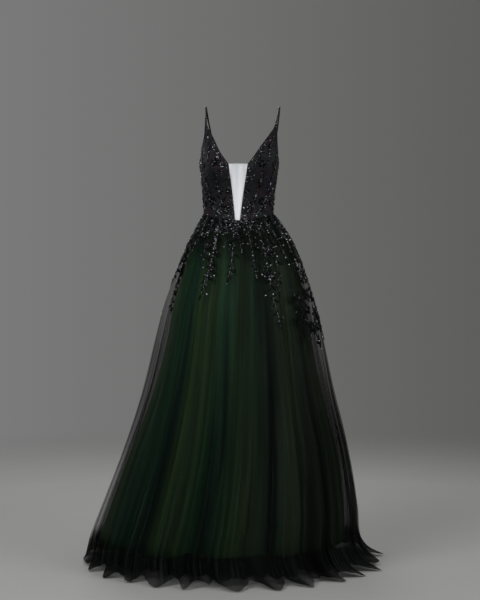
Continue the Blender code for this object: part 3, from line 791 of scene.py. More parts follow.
def toned_copies(name: str, template: Mesh, points: Array, tones: Sequence[float]) -> Mesh:
    """Joins copies of one mesh.

    Args:
        name: the new mesh's name.
        template: the mesh to copy.
        points: every copy's points, one copy after another.
        tones: every copy's tone, from 0, dark, to 1, light.

    Returns:
        The mesh.
    """
    bm = bmesh.new()
    for _ in tones:
        bm.from_mesh(template)
    mesh = to_mesh(bm, name)
    write_points(mesh, points)
    write_values(mesh, "tone", np.repeat(tones, len(template.vertices)))
    return mesh


# ---------------------------------------------------------------- nodes and finishes
class NodePen:
    """Adds nodes to one node tree and joins them."""

    def __init__(self, tree: NodeTree) -> None:
        """Keeps the tree."""
        self.tree = tree

    def feed(self, socket: bpy.types.NodeSocket, value: Value) -> None:
        """Joins another node's output to an input, or sets it to a number, vector or colour."""
        if isinstance(value, bpy.types.NodeSocket):
            self.tree.links.new(value, socket)
        elif socket.type == "RGBA":
            socket.default_value = (*value, 1.0)
        else:
            socket.default_value = value

    def add(self, kind: str, inputs: Inputs | None = None, **settings: Value) -> bpy.types.Node:
        """Adds a node.

        Args:
            kind: the node's type, without its common first words.
            inputs: a constant or another node's output for each input by its name or number.
            settings: the node's own settings.

        Returns:
            The node.
        """
        node = self.tree.nodes.new("ShaderNode" + kind)
        for name, value in settings.items():
            setattr(node, name, value)
        for name, value in (inputs or {}).items():
            self.feed(node.inputs[name], value)
        return node

    def times(self, first: Value, second: Value) -> Value:
        """Multiplies two values."""
        return self.add("Math", {0: first, 1: second}, operation="MULTIPLY").outputs[0]

    def total(self, start: Value, *parts: tuple[Value, float]) -> Value:
        """Adds values, each times its own factor, to a start."""
        for value, factor in parts:
            start = self.add("Math", {0: value, 1: factor, 2: start}, operation="MULTIPLY_ADD").outputs[0]
        return start

    def between(self, value: Value, low: float, high: float, start: float = 0.0, end: float = 1.0) -> Value:
        """Maps a value from low..high to start..end, held at both ends."""
        inputs = {"Value": value, "From Min": low, "From Max": high, "To Min": start, "To Max": end}
        return self.add("MapRange", inputs).outputs["Result"]

    def blend(self, share: Value, first: Value, second: Value) -> Value:
        """Blends two colours by the second's share."""
        node = self.add("Mix", data_type="RGBA")
        sockets = {socket.identifier: socket for socket in (*node.inputs, *node.outputs)}
        for name, value in (("Factor_Float", share), ("A_Color", first), ("B_Color", second)):
            self.feed(sockets[name], value)
        return sockets["Result_Color"]

    def ramp(self, value: Value, stops: Sequence[tuple[float, Colour]]) -> Value:
        """Runs a value through a row of colours.

        Args:
            value: the value.
            stops: the colours with their places, which rise.

        Returns:
            The colour.
        """
        node = self.add("ValToRGB", {"Fac": value})
        elements = node.color_ramp.elements
        while len(elements) < len(stops):
            elements.new(0.5)
        for element, (place, colour) in zip(elements, stops):
            element.position = place
            element.color = (*colour, 1.0)
        return node.outputs["Color"]

    def scaled(self, vector: Value, scale: tuple[float, float, float]) -> Value:
        """Stretches a pattern's coordinates."""
        return self.add("Mapping", {"Vector": vector, "Scale": scale}).outputs["Vector"]

    def noise(self, vector: Value, scale: float, detail: float = 2.0, rough: float = 0.5) -> Value:
        """Adds a noise and gives its value."""
        inputs = {"Vector": vector, "Scale": scale, "Detail": detail, "Roughness": rough}
        return self.add("TexNoise", inputs).outputs["Fac"]

    def bump(self, height: Value, strength: float, depth: float) -> Value:
        """Adds a bump and gives its normal."""
        return self.add("Bump", {"Height": height, "Strength": strength, "Distance": depth}).outputs["Normal"]

    def attribute(self, name: str) -> Value:
        """Reads one of the values that write_values gave the mesh."""
        return self.add("Attribute", attribute_name=name).outputs["Fac"]


class Effect(Enum):
    """The effects that several finishes share, each a node group."""

    STREAKS = "gather_streaks"
    NET = "net_threads"
    WEAVE = "woven_threads"
    MOTTLE = "cloudy_variation"


class EffectBook:
    """Builds each shared effect once."""

    STREAK_SIZES = (
        ("Wide", 0.21, 0.75, 0.34, 0.66),
        ("Broad", 1.0, 0.9, 0.36, 0.66),
        ("Fine", 5.2, 1.7, 0.43, 0.72),
    )

    def __init__(self) -> None:
        """Starts with no group built."""
        self.groups: dict[Effect, NodeTree] = {}

    def group(self, effect: Effect) -> NodeTree:
        """The effect's node group, which is built at its first use."""
        if effect not in self.groups:
            makers = {
                Effect.STREAKS: self.streaks, Effect.NET: self.net,
                Effect.WEAVE: self.weave, Effect.MOTTLE: self.mottle,
            }
            self.groups[effect] = bpy.data.node_groups.new(effect.value, "ShaderNodeTree")
            makers[effect](self.groups[effect])
        return self.groups[effect]

    def place(self, pen: NodePen, effect: Effect, **inputs: Value) -> Any:
        """Places an effect in a material with its own values, and gives its outputs."""
        return pen.add("Group", inputs, node_tree=self.group(effect)).outputs

    @staticmethod
    def open(tree: NodeTree, inputs: Sequence[str], outputs: Sequence[str]) -> tuple[Any, Any, NodePen]:
        """Gives a group its sockets: the first input is a vector, and the rest are numbers.

        Args:
            tree: the group.
            inputs: its inputs' names.
            outputs: its outputs' names.

        Returns:
            The inputs' and the outputs' sockets inside the group, and a pen.
        """
        for name in inputs:
            kind = "NodeSocketVector" if name == "Vector" else "NodeSocketFloat"
            tree.interface.new_socket(name=name, in_out="INPUT", socket_type=kind)
        for name in outputs:
            tree.interface.new_socket(name=name, in_out="OUTPUT", socket_type="NodeSocketFloat")
        start = tree.nodes.new("NodeGroupInput").outputs
        return start, tree.nodes.new("NodeGroupOutput").inputs, NodePen(tree)

    def streaks(self, tree: NodeTree) -> None:
        """Long lines down gathered cloth: Wide shades, Broad folds and Fine creases, from 0 to 1."""
        start, end, pen = self.open(tree, ("Vector", "Across"), ("Wide", "Broad", "Fine"))
        parts = pen.add("SeparateXYZ", {0: start["Vector"]}).outputs
        wide = pen.times(parts[0], start["Across"])
        for name, across, down, low, high in self.STREAK_SIZES:
            stretched = {0: pen.times(wide, across), 1: pen.times(parts[1], down)}
            vector = pen.add("CombineXYZ", stretched).outputs[0]
            pen.feed(end[name], pen.between(pen.noise(vector, 1.0, 3.0, 0.55), low, high))

    def net(self, tree: NodeTree) -> None:
        """Round holes in rows, as in tulle: Thread is 1 on a thread and 0 in a hole."""
        start, end, pen = self.open(tree, ("Vector", "Scale"), ("Thread",))
        inputs = {"Vector": start["Vector"], "Scale": start["Scale"], "Randomness": 0.25}
        cells = pen.add("TexVoronoi", inputs, feature="DISTANCE_TO_EDGE", voronoi_dimensions="2D")
        pen.feed(end["Thread"], pen.between(cells.outputs["Distance"], 0.05, 0.22, 1.0, 0.0))

    def weave(self, tree: NodeTree) -> None:
        """Threads over and under each other: Height from 0 to 1."""
        start, end, pen = self.open(tree, ("Vector", "Scale"), ("Height",))
        inputs = {"Vector": start["Vector"], "Scale": start["Scale"], "Distortion": 0.4}
        warp, weft = (pen.add("TexWave", inputs, bands_direction=way).outputs["Fac"] for way in ("X", "Y"))
        pen.feed(end["Height"], pen.times(warp, weft))

    def mottle(self, tree: NodeTree) -> None:
        """Cloudy patches: Mask from 0 to 1."""
        start, end, pen = self.open(tree, ("Vector", "Scale"), ("Mask",))
        cloud = pen.noise(start["Vector"], start["Scale"], 4.0, 0.6)
        pen.feed(end["Mask"], pen.between(cloud, 0.32, 0.68))


EFFECTS = EffectBook()


class Source(Enum):
    """The coordinates that a pattern follows."""

    SURFACE = "UV"
    SOLID = "Object"


@dataclass(frozen=True)
class Coat:
    """What every finish shares: a material whose shader is fed by paint."""

    SOURCE: ClassVar[Source] = Source.SURFACE

    name: str

    def paint(self, pen: NodePen, place: Value) -> dict[str, Value]:
        """The shader's inputs by name, from the coordinates of the finish's patterns."""
        raise NotImplementedError

    def build(self) -> Material:
        """Makes the material.

        Returns:
            The material.
        """
        material = bpy.data.materials.new(self.name)
        material.use_nodes = True
        pen = NodePen(material.node_tree)
        shader = material.node_tree.nodes["Principled BSDF"].inputs
        place = pen.add("TexCoord").outputs[self.SOURCE.value]
        for name, value in self.paint(pen, place).items():
            pen.feed(shader[name], value)
        return material


@dataclass(frozen=True)
class TulleFinish(Coat):
    """Sheer net whose lines of gathered threads are denser, and paler by a painted highlight."""

    colour: Colour
    # painted highlight: the paler colour of the lines
    painted_highlight_colour: Colour
    sheer: float
    dense: float
    across: float

    def paint(self, pen: NodePen, place: Value) -> dict[str, Value]:
        """The shader's inputs: the net is denser where it is gathered and in lines, whose paler colour is a
        painted highlight, and denser in the main hollows as painted shade.
        """
        streaks = EFFECTS.place(pen, Effect.STREAKS, Vector=place, Across=self.across)
        net = EFFECTS.place(pen, Effect.NET, Vector=place, Scale=700.0)["Thread"]
        cloud = EFFECTS.place(pen, Effect.MOTTLE, Vector=place, Scale=3.0)["Mask"]
        lines = pen.times(streaks["Fine"], pen.between(streaks["Broad"], 0, 1, 0.15, 1.0))
        lines = pen.times(lines, pen.between(streaks["Wide"], 0, 1, 0.3, 1.0))
        cover = pen.total(
            0.28,
            (pen.attribute("gather"), 0.9),
            (lines, 0.30),
            # thinner along the wide and broad streaks, so the lining's bands show through: partly real
            # density, partly painted fold light
            (streaks["Wide"], -0.18),
            (streaks["Broad"], -0.10),
            # painted shade: the net is denser in the main hollows
            (pen.attribute("painted_hollow_shade"), 0.16),
        )
        alpha = pen.between(cover, 0.0, 1.0, self.sheer, self.dense)
        return {
            "Alpha": pen.times(alpha, pen.between(net, 0, 1, 0.94, 1.06)),
            # painted highlight: the lines take the paler colour
            "Base Color": pen.blend(lines, self.colour, self.painted_highlight_colour),
            "Roughness": pen.between(cloud, 0, 1, 0.55, 0.75),
            "Normal": pen.bump(net, 0.25, 0.0003),
            "Specular IOR Level": 0.02,
        }


@dataclass(frozen=True)
class LiningFinish(Coat):
    """Satin-backed cloth whose folds run from blue-black through deep and yellow green to grey: the greens
    partly its own and partly painted fold light and shade, the grey a painted sheen to one side.
    """

    # painted fold shade, where the broad and fine streaks are low
    dark: Colour
    # the bands' greens: partly the cloth's own, partly painted fold light and shade
    shades: tuple[tuple[float, Colour], ...]
    # painted sheen: the grey the colour turns to towards one side
    grey: Colour
    # painted shade colour of the main hollows
    hollow_shade_colour: Colour
    across: float

    def paint(self, pen: NodePen, place: Value) -> dict[str, Value]:
        """The shader's inputs: green bands with painted fold light and shade, a painted grey sheen towards
        one side, painted shade where the streaks are low, and darkest painted shade in the hollows.
        """
        streaks = EFFECTS.place(pen, Effect.STREAKS, Vector=place, Across=self.across)
        cloud = EFFECTS.place(pen, Effect.MOTTLE, Vector=place, Scale=1.6)["Mask"]
        weave = EFFECTS.place(pen, Effect.WEAVE, Vector=place, Scale=260.0)["Height"]
        side = pen.add("SeparateXYZ", {0: pen.add("TexCoord").outputs[Source.SOLID.value]}).outputs[0]
        # painted sheen: greyer towards the wearer's left (object +X), in cloudy patches
        painted_sheen_share = pen.times(pen.between(cloud, 0, 1, 0.45, 1.0), pen.between(side, -0.10, 0.20, 0.08, 1.0))
        # the bands and the wide streaks: partly the cloth's own greens, partly painted fold light and shade
        shade = pen.total(0.0, (pen.attribute("band"), 0.8), (streaks["Wide"], 0.2))
        colour = pen.blend(painted_sheen_share, pen.ramp(shade, self.shades), self.grey)
        # painted fold shade: darker where the broad and fine streaks are low
        lines = pen.total(0.28, (streaks["Broad"], 0.52), (streaks["Fine"], 0.37))
        colour = pen.blend(lines, self.dark, colour)
        return {
            # painted shade: darkest in the main hollows
            "Base Color": pen.blend(pen.times(pen.attribute("painted_hollow_shade"), 0.92), colour, self.hollow_shade_colour),
            "Roughness": pen.between(streaks["Fine"], 0, 1, 0.38, 0.58),
            "Normal": pen.bump(pen.total(weave, (streaks["Fine"], 3.0)), 0.3, 0.0006),
            "Specular IOR Level": 0.2,
        }


@dataclass(frozen=True)
class LaceFinish(Coat):
    """Fine corded lace over a close lining, in large patches of brown, violet and green-grey."""

    ground: Colour
    cord: Colour
    tints: tuple[tuple[float, Colour], ...]

    def paint(self, pen: NodePen, place: Value) -> dict[str, Value]:
        """The shader's inputs: raised cords on a finer net."""
        bend = pen.noise(pen.scaled(place, (60, 60, 60)), 1.0)
        aside = pen.add("CombineXYZ", {0: pen.times(bend, 0.012)}).outputs[0]
        bent = pen.add("VectorMath", {0: place, 1: aside}).outputs[0]
        cells = pen.add("TexVoronoi", {"Vector": bent, "Scale": 95.0}, feature="DISTANCE_TO_EDGE")
        cords = pen.between(cells.outputs["Distance"], 0.03, 0.16, 1.0, 0.0)
        net = EFFECTS.place(pen, Effect.NET, Vector=place, Scale=620.0)["Thread"]
        patch = pen.noise(pen.scaled(place, (9, 9, 7)), 1.0, 1.0)
        colour = pen.blend(cords, self.ground, self.cord)
        return {
            "Base Color": pen.blend(0.62, colour, pen.ramp(patch, self.tints)),
            "Roughness": pen.between(cords, 0, 1, 0.70, 0.48),
            "Normal": pen.bump(pen.total(cords, (net, 0.3)), 0.5, 0.0006),
            "Specular IOR Level": 0.10,
        }


@dataclass(frozen=True)
class ThreadFinish(Coat):
    """Satin-stitched thread, whose tone each leaf or petal has of its own."""

    SOURCE: ClassVar[Source] = Source.SOLID

    dark: Colour
    light: Colour

    def paint(self, pen: NodePen, place: Value) -> dict[str, Value]:
        """The shader's inputs: a fine grain along each stitch."""
        grain = pen.noise(pen.scaled(place, (900, 900, 260)), 1.0)
        return {
            "Base Color": pen.blend(pen.attribute("tone"), self.dark, self.light),
            "Roughness": pen.between(grain, 0.3, 0.7, 0.38, 0.62),
            "Normal": pen.bump(grain, 0.4, 0.0003),
            "Specular IOR Level": 0.04,
        }


@dataclass(frozen=True)
class BeadFinish(Coat):
    """Cut glass and foiled beads, from jet to silver by each bead's tone."""

    SOURCE: ClassVar[Source] = Source.SOLID

    jet: Colour
    silver: Colour
    metallic: float
    rough: float

    def paint(self, pen: NodePen, place: Value) -> dict[str, Value]:
        """The shader's inputs: glass or foil under a thin coat."""
        cut = pen.noise(place, 700.0, 1.0)
        return {
            "Base Color": pen.blend(pen.attribute("tone"), self.jet, self.silver),
            "Roughness": pen.between(cut, 0.3, 0.7, self.rough, self.rough + 0.14),
            "Metallic": self.metallic,
            "Coat Weight": 0.15,
            "Coat Roughness": 0.1,
        }


@dataclass(frozen=True)
class SatinFinish(Coat):
    """Close satin with a fine weave."""

    colour: Colour
    worn: Colour
    rough: float

    def paint(self, pen: NodePen, place: Value) -> dict[str, Value]:
        """The shader's inputs: a weave, a little worn in patches."""
        weave = EFFECTS.place(pen, Effect.WEAVE, Vector=place, Scale=700.0)["Height"]
        cloud = EFFECTS.place(pen, Effect.MOTTLE, Vector=place, Scale=40.0)["Mask"]
        return {
            "Base Color": pen.blend(cloud, self.colour, self.worn),
            "Roughness": pen.between(cloud, 0, 1, self.rough, self.rough + 0.15),
            "Normal": pen.bump(weave, 0.4, 0.0003),
            "Specular IOR Level": 0.15,
        }


@dataclass(frozen=True)
class NetFinish(Coat):
    """Fine stretch net: nearly opaque threads round tiny holes."""

    colour: Colour
    shade: Colour
    holes: float
    threads: float

    def paint(self, pen: NodePen, place: Value) -> dict[str, Value]:
        """The shader's inputs: a net with painted soft upright shade."""
        net = EFFECTS.place(pen, Effect.NET, Vector=place, Scale=800.0)["Thread"]
        # painted shade: soft upright streaks of the darker colour
        painted_upright_shade = pen.between(pen.noise(pen.scaled(place, (34, 5, 1)), 1.0, 1.0), 0.36, 0.64)
        return {
            "Base Color": pen.blend(painted_upright_shade, self.colour, self.shade),
            "Alpha": pen.between(net, 0, 1, self.holes, self.threads),
            "Roughness": pen.between(net, 0, 1, 0.7, 0.5),
            "Normal": pen.bump(net, 0.3, 0.0002),
        }


@dataclass(frozen=True)
class EnamelFinish(Coat):
    """Gloss enamel over zinc, worn at random."""

    SOURCE: ClassVar[Source] = Source.SOLID

    colour: Colour
    bare: Colour

    def paint(self, pen: NodePen, place: Value) -> dict[str, Value]:
        """The shader's inputs: a gloss with small bare spots."""
        worn = pen.between(pen.noise(place, 900.0, 3.0), 0.62, 0.75)
        return {
            "Base Color": pen.blend(worn, self.colour, self.bare),
            "Roughness": pen.between(worn, 0, 1, 0.22, 0.4),
            "Normal": pen.bump(pen.noise(place, 400.0), 0.15, 0.0002),
            "Metallic": 0.9,
        }


@dataclass(frozen=True)
class FloorFinish(Coat):
    """A plain pale floor that fades into the backdrop."""

    SOURCE: ClassVar[Source] = Source.SOLID

    colour: Colour
    darker: Colour
    inner: float
    outer: float

    def paint(self, pen: NodePen, place: Value) -> dict[str, Value]:
        """The shader's inputs: solid as far as the inner radius and gone at the outer one."""
        flat = pen.scaled(place, (1.0, 1.0, 0.0))
        away = pen.add("VectorMath", {0: flat}, operation="LENGTH").outputs["Value"]
        cloud = EFFECTS.place(pen, Effect.MOTTLE, Vector=place, Scale=0.8)["Mask"]
        return {
            "Base Color": pen.blend(cloud, self.colour, self.darker),
            "Alpha": pen.between(away, self.inner, self.outer, 1.0, 0.0),
            "Roughness": 0.7,
            "Specular IOR Level": 0.2,
        }


class Finish(Enum):
    """The gown's finishes."""

    OUTER_TULLE = TulleFinish(
        # its second colour is the lines' painted highlight
        "sheer_black_tulle", (0.0006, 0.0008, 0.0007), (0.026, 0.034, 0.028), 0.15, 0.95, 24.0
    )
    SECOND_TULLE = TulleFinish(
        # its second colour is the lines' painted highlight
        "dense_black_tulle", (0.0006, 0.0012, 0.0010), (0.013, 0.021, 0.016), 0.19, 0.98, 18.0
    )
    LINING = LiningFinish(
        "green_satin_tulle",
        # painted fold shade between the streaks
        (0.0012, 0.0080, 0.0060),
        # the bands' greens: partly the cloth's own, partly painted fold light and shade
        (
            (0.02, (0.006, 0.022, 0.028)),
            (0.24, (0.010, 0.085, 0.050)),
            (0.42, (0.022, 0.125, 0.046)),
            (0.62, (0.050, 0.116, 0.030)),
            (0.78, (0.034, 0.132, 0.046)),
            (0.95, (0.016, 0.110, 0.070)),
        ),
        # painted sheen grey, towards one side
        (0.124, 0.148, 0.090),
        # painted shade colour of the main hollows
        (0.002, 0.005, 0.010),
        22.0,
    )
    LACE = LaceFinish(
        "black_corded_lace",
        (0.0045, 0.0045, 0.0056),
        (0.0150, 0.0140, 0.0175),
        (
            (0.36, (0.0060, 0.0120, 0.0105)),
            (0.45, (0.0120, 0.0108, 0.0145)),
            (0.54, (0.0195, 0.0110, 0.0140)),
            (0.63, (0.0130, 0.0120, 0.0215)),
        ),
    )
    THREAD = ThreadFinish("black_satin_stitch", (0.0004, 0.0004, 0.0006), (0.0040, 0.0040, 0.0055))
    BEADS = BeadFinish("glass_beads", (0.008, 0.008, 0.010), (0.80, 0.82, 0.85), 0.80, 0.20)
    SEQUINS = BeadFinish("foiled_sequins", (0.010, 0.011, 0.013), (0.30, 0.32, 0.36), 0.9, 0.24)
    SATIN = SatinFinish("black_strap_satin", (0.0030, 0.0030, 0.0035), (0.007, 0.007, 0.008), 0.38)
    BODICE_LINING = SatinFinish("black_bodice_lining", (0.006, 0.006, 0.007), (0.010, 0.010, 0.012), 0.50)
    # its second colour is painted shade
    NET = NetFinish("pale_stretch_net", (0.90, 0.91, 0.94), (0.70, 0.71, 0.76), 0.90, 0.99)
    TAPE = SatinFinish("black_zip_tape", (0.008, 0.008, 0.009), (0.014, 0.014, 0.016), 0.60)
    ENAMEL = EnamelFinish("black_enamel", (0.020, 0.020, 0.022), (0.16, 0.16, 0.17))
    FLOOR = FloorFinish("pale_floor", (0.34, 0.34, 0.335), (0.3264, 0.3264, 0.3216), 2.3, 4.6)


@cache
def material_of(finish: Finish) -> Material:
    """A finish's material, which is made at its first use."""
    return finish.value.build()


# ---------------------------------------------------------------- the skirt
@dataclass(frozen=True)
class Cut:
    """One sheet's whole flat cut: how it is held, its width, its length and its area."""

    held: str
    width: float
    length: float
    area: float


@dataclass(frozen=True)
class Panel:
    """One panel of a skirt layer between two turns."""

    part: str
    first: float
    last: float


@dataclass
class SkirtCloth:
    """One layer of the skirt: a front panel and two back panels."""

    skirt: Skirt
    layer: Layer
    finish: Finish
    slot: str
    nodes: str
    rows: int
    columns_a_fold: int
    tip_spread: float = 0.0
    hem_cover: float = 0.0
    left_cover: float = 0.0
    floor_gap: float = 0.0008
    flat_scale: tuple[float, float] = (3.0, 1.19)
    row_places: tuple[float, ...] = (0.0, 0.10, 0.80, 1.0)
    row_drops: tuple[float, ...] = (0.0, 0.06, 0.82, 1.0)
    # the lining's bands round the skirt, turn and tone: partly its own greens, partly painted fold light and
    # shade
    bands: tuple[tuple[float, float], ...] = (
        (-0.500, 0.50), (-0.455, 0.20), (-0.410, 0.62), (-0.360, 0.36), (-0.320, 0.70), (-0.275, 0.24),
        (-0.235, 0.72), (-0.180, 0.38), (-0.138, 0.14), (-0.112, 0.60), (-0.078, 0.64), (-0.056, 0.46),
        (-0.028, 0.22), (-0.006, 0.56), (0.022, 0.62), (0.040, 0.36), (0.060, 0.06), (0.082, 0.60),
        (0.112, 0.66), (0.136, 0.40), (0.160, 0.08), (0.188, 0.60), (0.225, 0.30), (0.265, 0.66),
        (0.310, 0.34), (0.355, 0.62), (0.395, 0.20), (0.440, 0.66), (0.475, 0.36), (0.500, 0.50),
    )
    # main hollows where shade is painted: turn, width and strength
    painted_shade_hollows: tuple[tuple[float, float, float], ...] = (
        (0.058, 0.009, 1.0), (-0.022, 0.005, 0.7), (-0.130, 0.010, 0.8), (0.165, 0.011, 0.7),
        (0.108, 0.004, 0.4), (-0.075, 0.004, 0.4), (-0.205, 0.008, 0.6), (0.270, 0.010, 0.7),
        (0.350, 0.007, 0.6), (0.425, 0.011, 0.8), (-0.290, 0.010, 0.7), (-0.365, 0.006, 0.5),
        (-0.440, 0.011, 0.8),
    )
    panels: tuple[Panel, ...] = (
        Panel("front", -0.25, 0.25),
        Panel("back_left", 0.25, 0.5),
        Panel("back_right", -0.5, -0.25),
    )

    def spot(self, panel: Panel, across: Array, up: Array) -> tuple[Array, Array, Array]:
        """The turns, the drops and the nearness to a point of the hem, at shares across and up a panel."""
        turn = panel.first + across * (panel.last - panel.first)
        height, near = self.skirt.hem(self.layer, turn)
        down = np.interp(1 - up, self.row_places, self.row_drops)
        return turn, down * (1 - height / self.skirt.torso.waist), near

    def place(self, panel: Panel, across: Array, up: Array) -> Array:
        """A panel's points at shares of its width and height."""
        turn, drop, near = self.spot(panel, across, up)
        spread = self.tip_spread * near * smooth(drop, 0.965, 1.0)
        points = self.skirt.point(self.layer, turn, drop, spread)
        points[:, 2] = np.maximum(points[:, 2], self.floor_gap - SHOULDER_HEIGHT)
        return points

    def gather(self, mesh: Mesh, turn: Array, drop: Array) -> Array:
        """How much of the cloth's thickness is seen from straight outside.

        Args:
            mesh: the panel's mesh.
            turn: each point's turn.
            drop: each point's drop.

        Returns:
            The shares, from 0 to 1.
        """
        normals = np.empty(len(mesh.vertices) * 3)
        mesh.vertex_normals.foreach_get("vector", normals)
        angle = self.skirt.round_angle(turn)
        across = self.skirt.smooth_form(angle + 0.02, drop) - self.skirt.smooth_form(angle - 0.02, drop)
        up = self.skirt.smooth_form(angle, drop - 0.004) - self.skirt.smooth_form(angle, drop + 0.004)
        facing = np.abs((unit(np.cross(across, up)) * normals.reshape(-1, 3)).sum(axis=1))
        sine = np.sin(angle)
        seam = smooth(0.02 - drop, 0.0, 0.02) + 0.22 * smooth(0.14 - drop, 0.0, 0.10)
        hem = self.hem_cover * smooth(drop, 0.90, 0.95)
        left = smooth(sine, 0.80, 0.97) * smooth(drop, 0.35, 0.7)
        sides = smooth(np.abs(sine), 0.45, 0.85) * smooth(drop, 0.90, 0.94)
        return np.clip((1 - facing) ** 0.8 + seam + hem + self.left_cover * (left + 1.1 * sides), 0, 1)

    def painted_hollow_shade(self, turn: Array, drop: Array) -> Array:
        """How deep each place lies in one of the skirt's main hollows, from 0 to 1: the share of painted
        shade there.
        """
        place = turn + 0.004 * np.sin(9 * drop + 20 * turn)
        depth = sum(deep * hump(place, middle, width) for middle, width, deep in self.painted_shade_hollows)
        return np.clip(depth, 0, 1) * smooth(drop, 0.12, 0.55)

    def band(self, turn: Array, drop: Array) -> Array:
        """Which of the lining's shades each place has, from 0 to 1, in bands down the skirt: partly the
        cloth's own greens, partly painted light and shade of its folds.
        """
        place = turn + 0.006 * np.sin(4 * drop + 30 * turn) + 0.010 * (1 - drop) * np.sin(55 * turn)
        return np.interp(place, *zip(*self.bands))

    def build(self) -> None:
        """Makes the layer's panels, each in its own node's place."""
        for panel in self.panels:
            self.build_panel(panel)

    def build_panel(self, panel: Panel) -> None:
        """Makes one panel.

        Args:
            panel: the panel.
        """

        def place(across: Array, up: Array) -> Array:
            """The panel's points."""
            return self.place(panel, across, up)

        def unfold(across: Array, up: Array) -> Array:
            """The panel's flat places."""
            turn, drop, _ = self.spot(panel, across, up)
            return np.stack([turn, drop], axis=-1) * self.flat_scale

        name = f"{self.layer.depth.value}_{panel.part}"
        columns = round(self.layer.folds * (panel.last - panel.first) * self.columns_a_fold)
        mesh = cloth_grid(name, columns, self.rows, place, unfold)
        turn, drop = (flat_places(mesh) / self.flat_scale).T
        # painted shade in the main hollows: darkens the lining and thickens the tulle there
        write_values(mesh, "painted_hollow_shade", self.painted_hollow_shade(turn, drop))
        if self.finish is Finish.LINING:
            write_values(mesh, "band", self.band(turn, drop))
        else:
            write_values(mesh, "gather", self.gather(mesh, turn, drop))
        piece = add_piece(name, mesh, self.finish, self.slot, f"{self.nodes}_{panel.part}")
        log_cloth(piece, columns, self.rows)


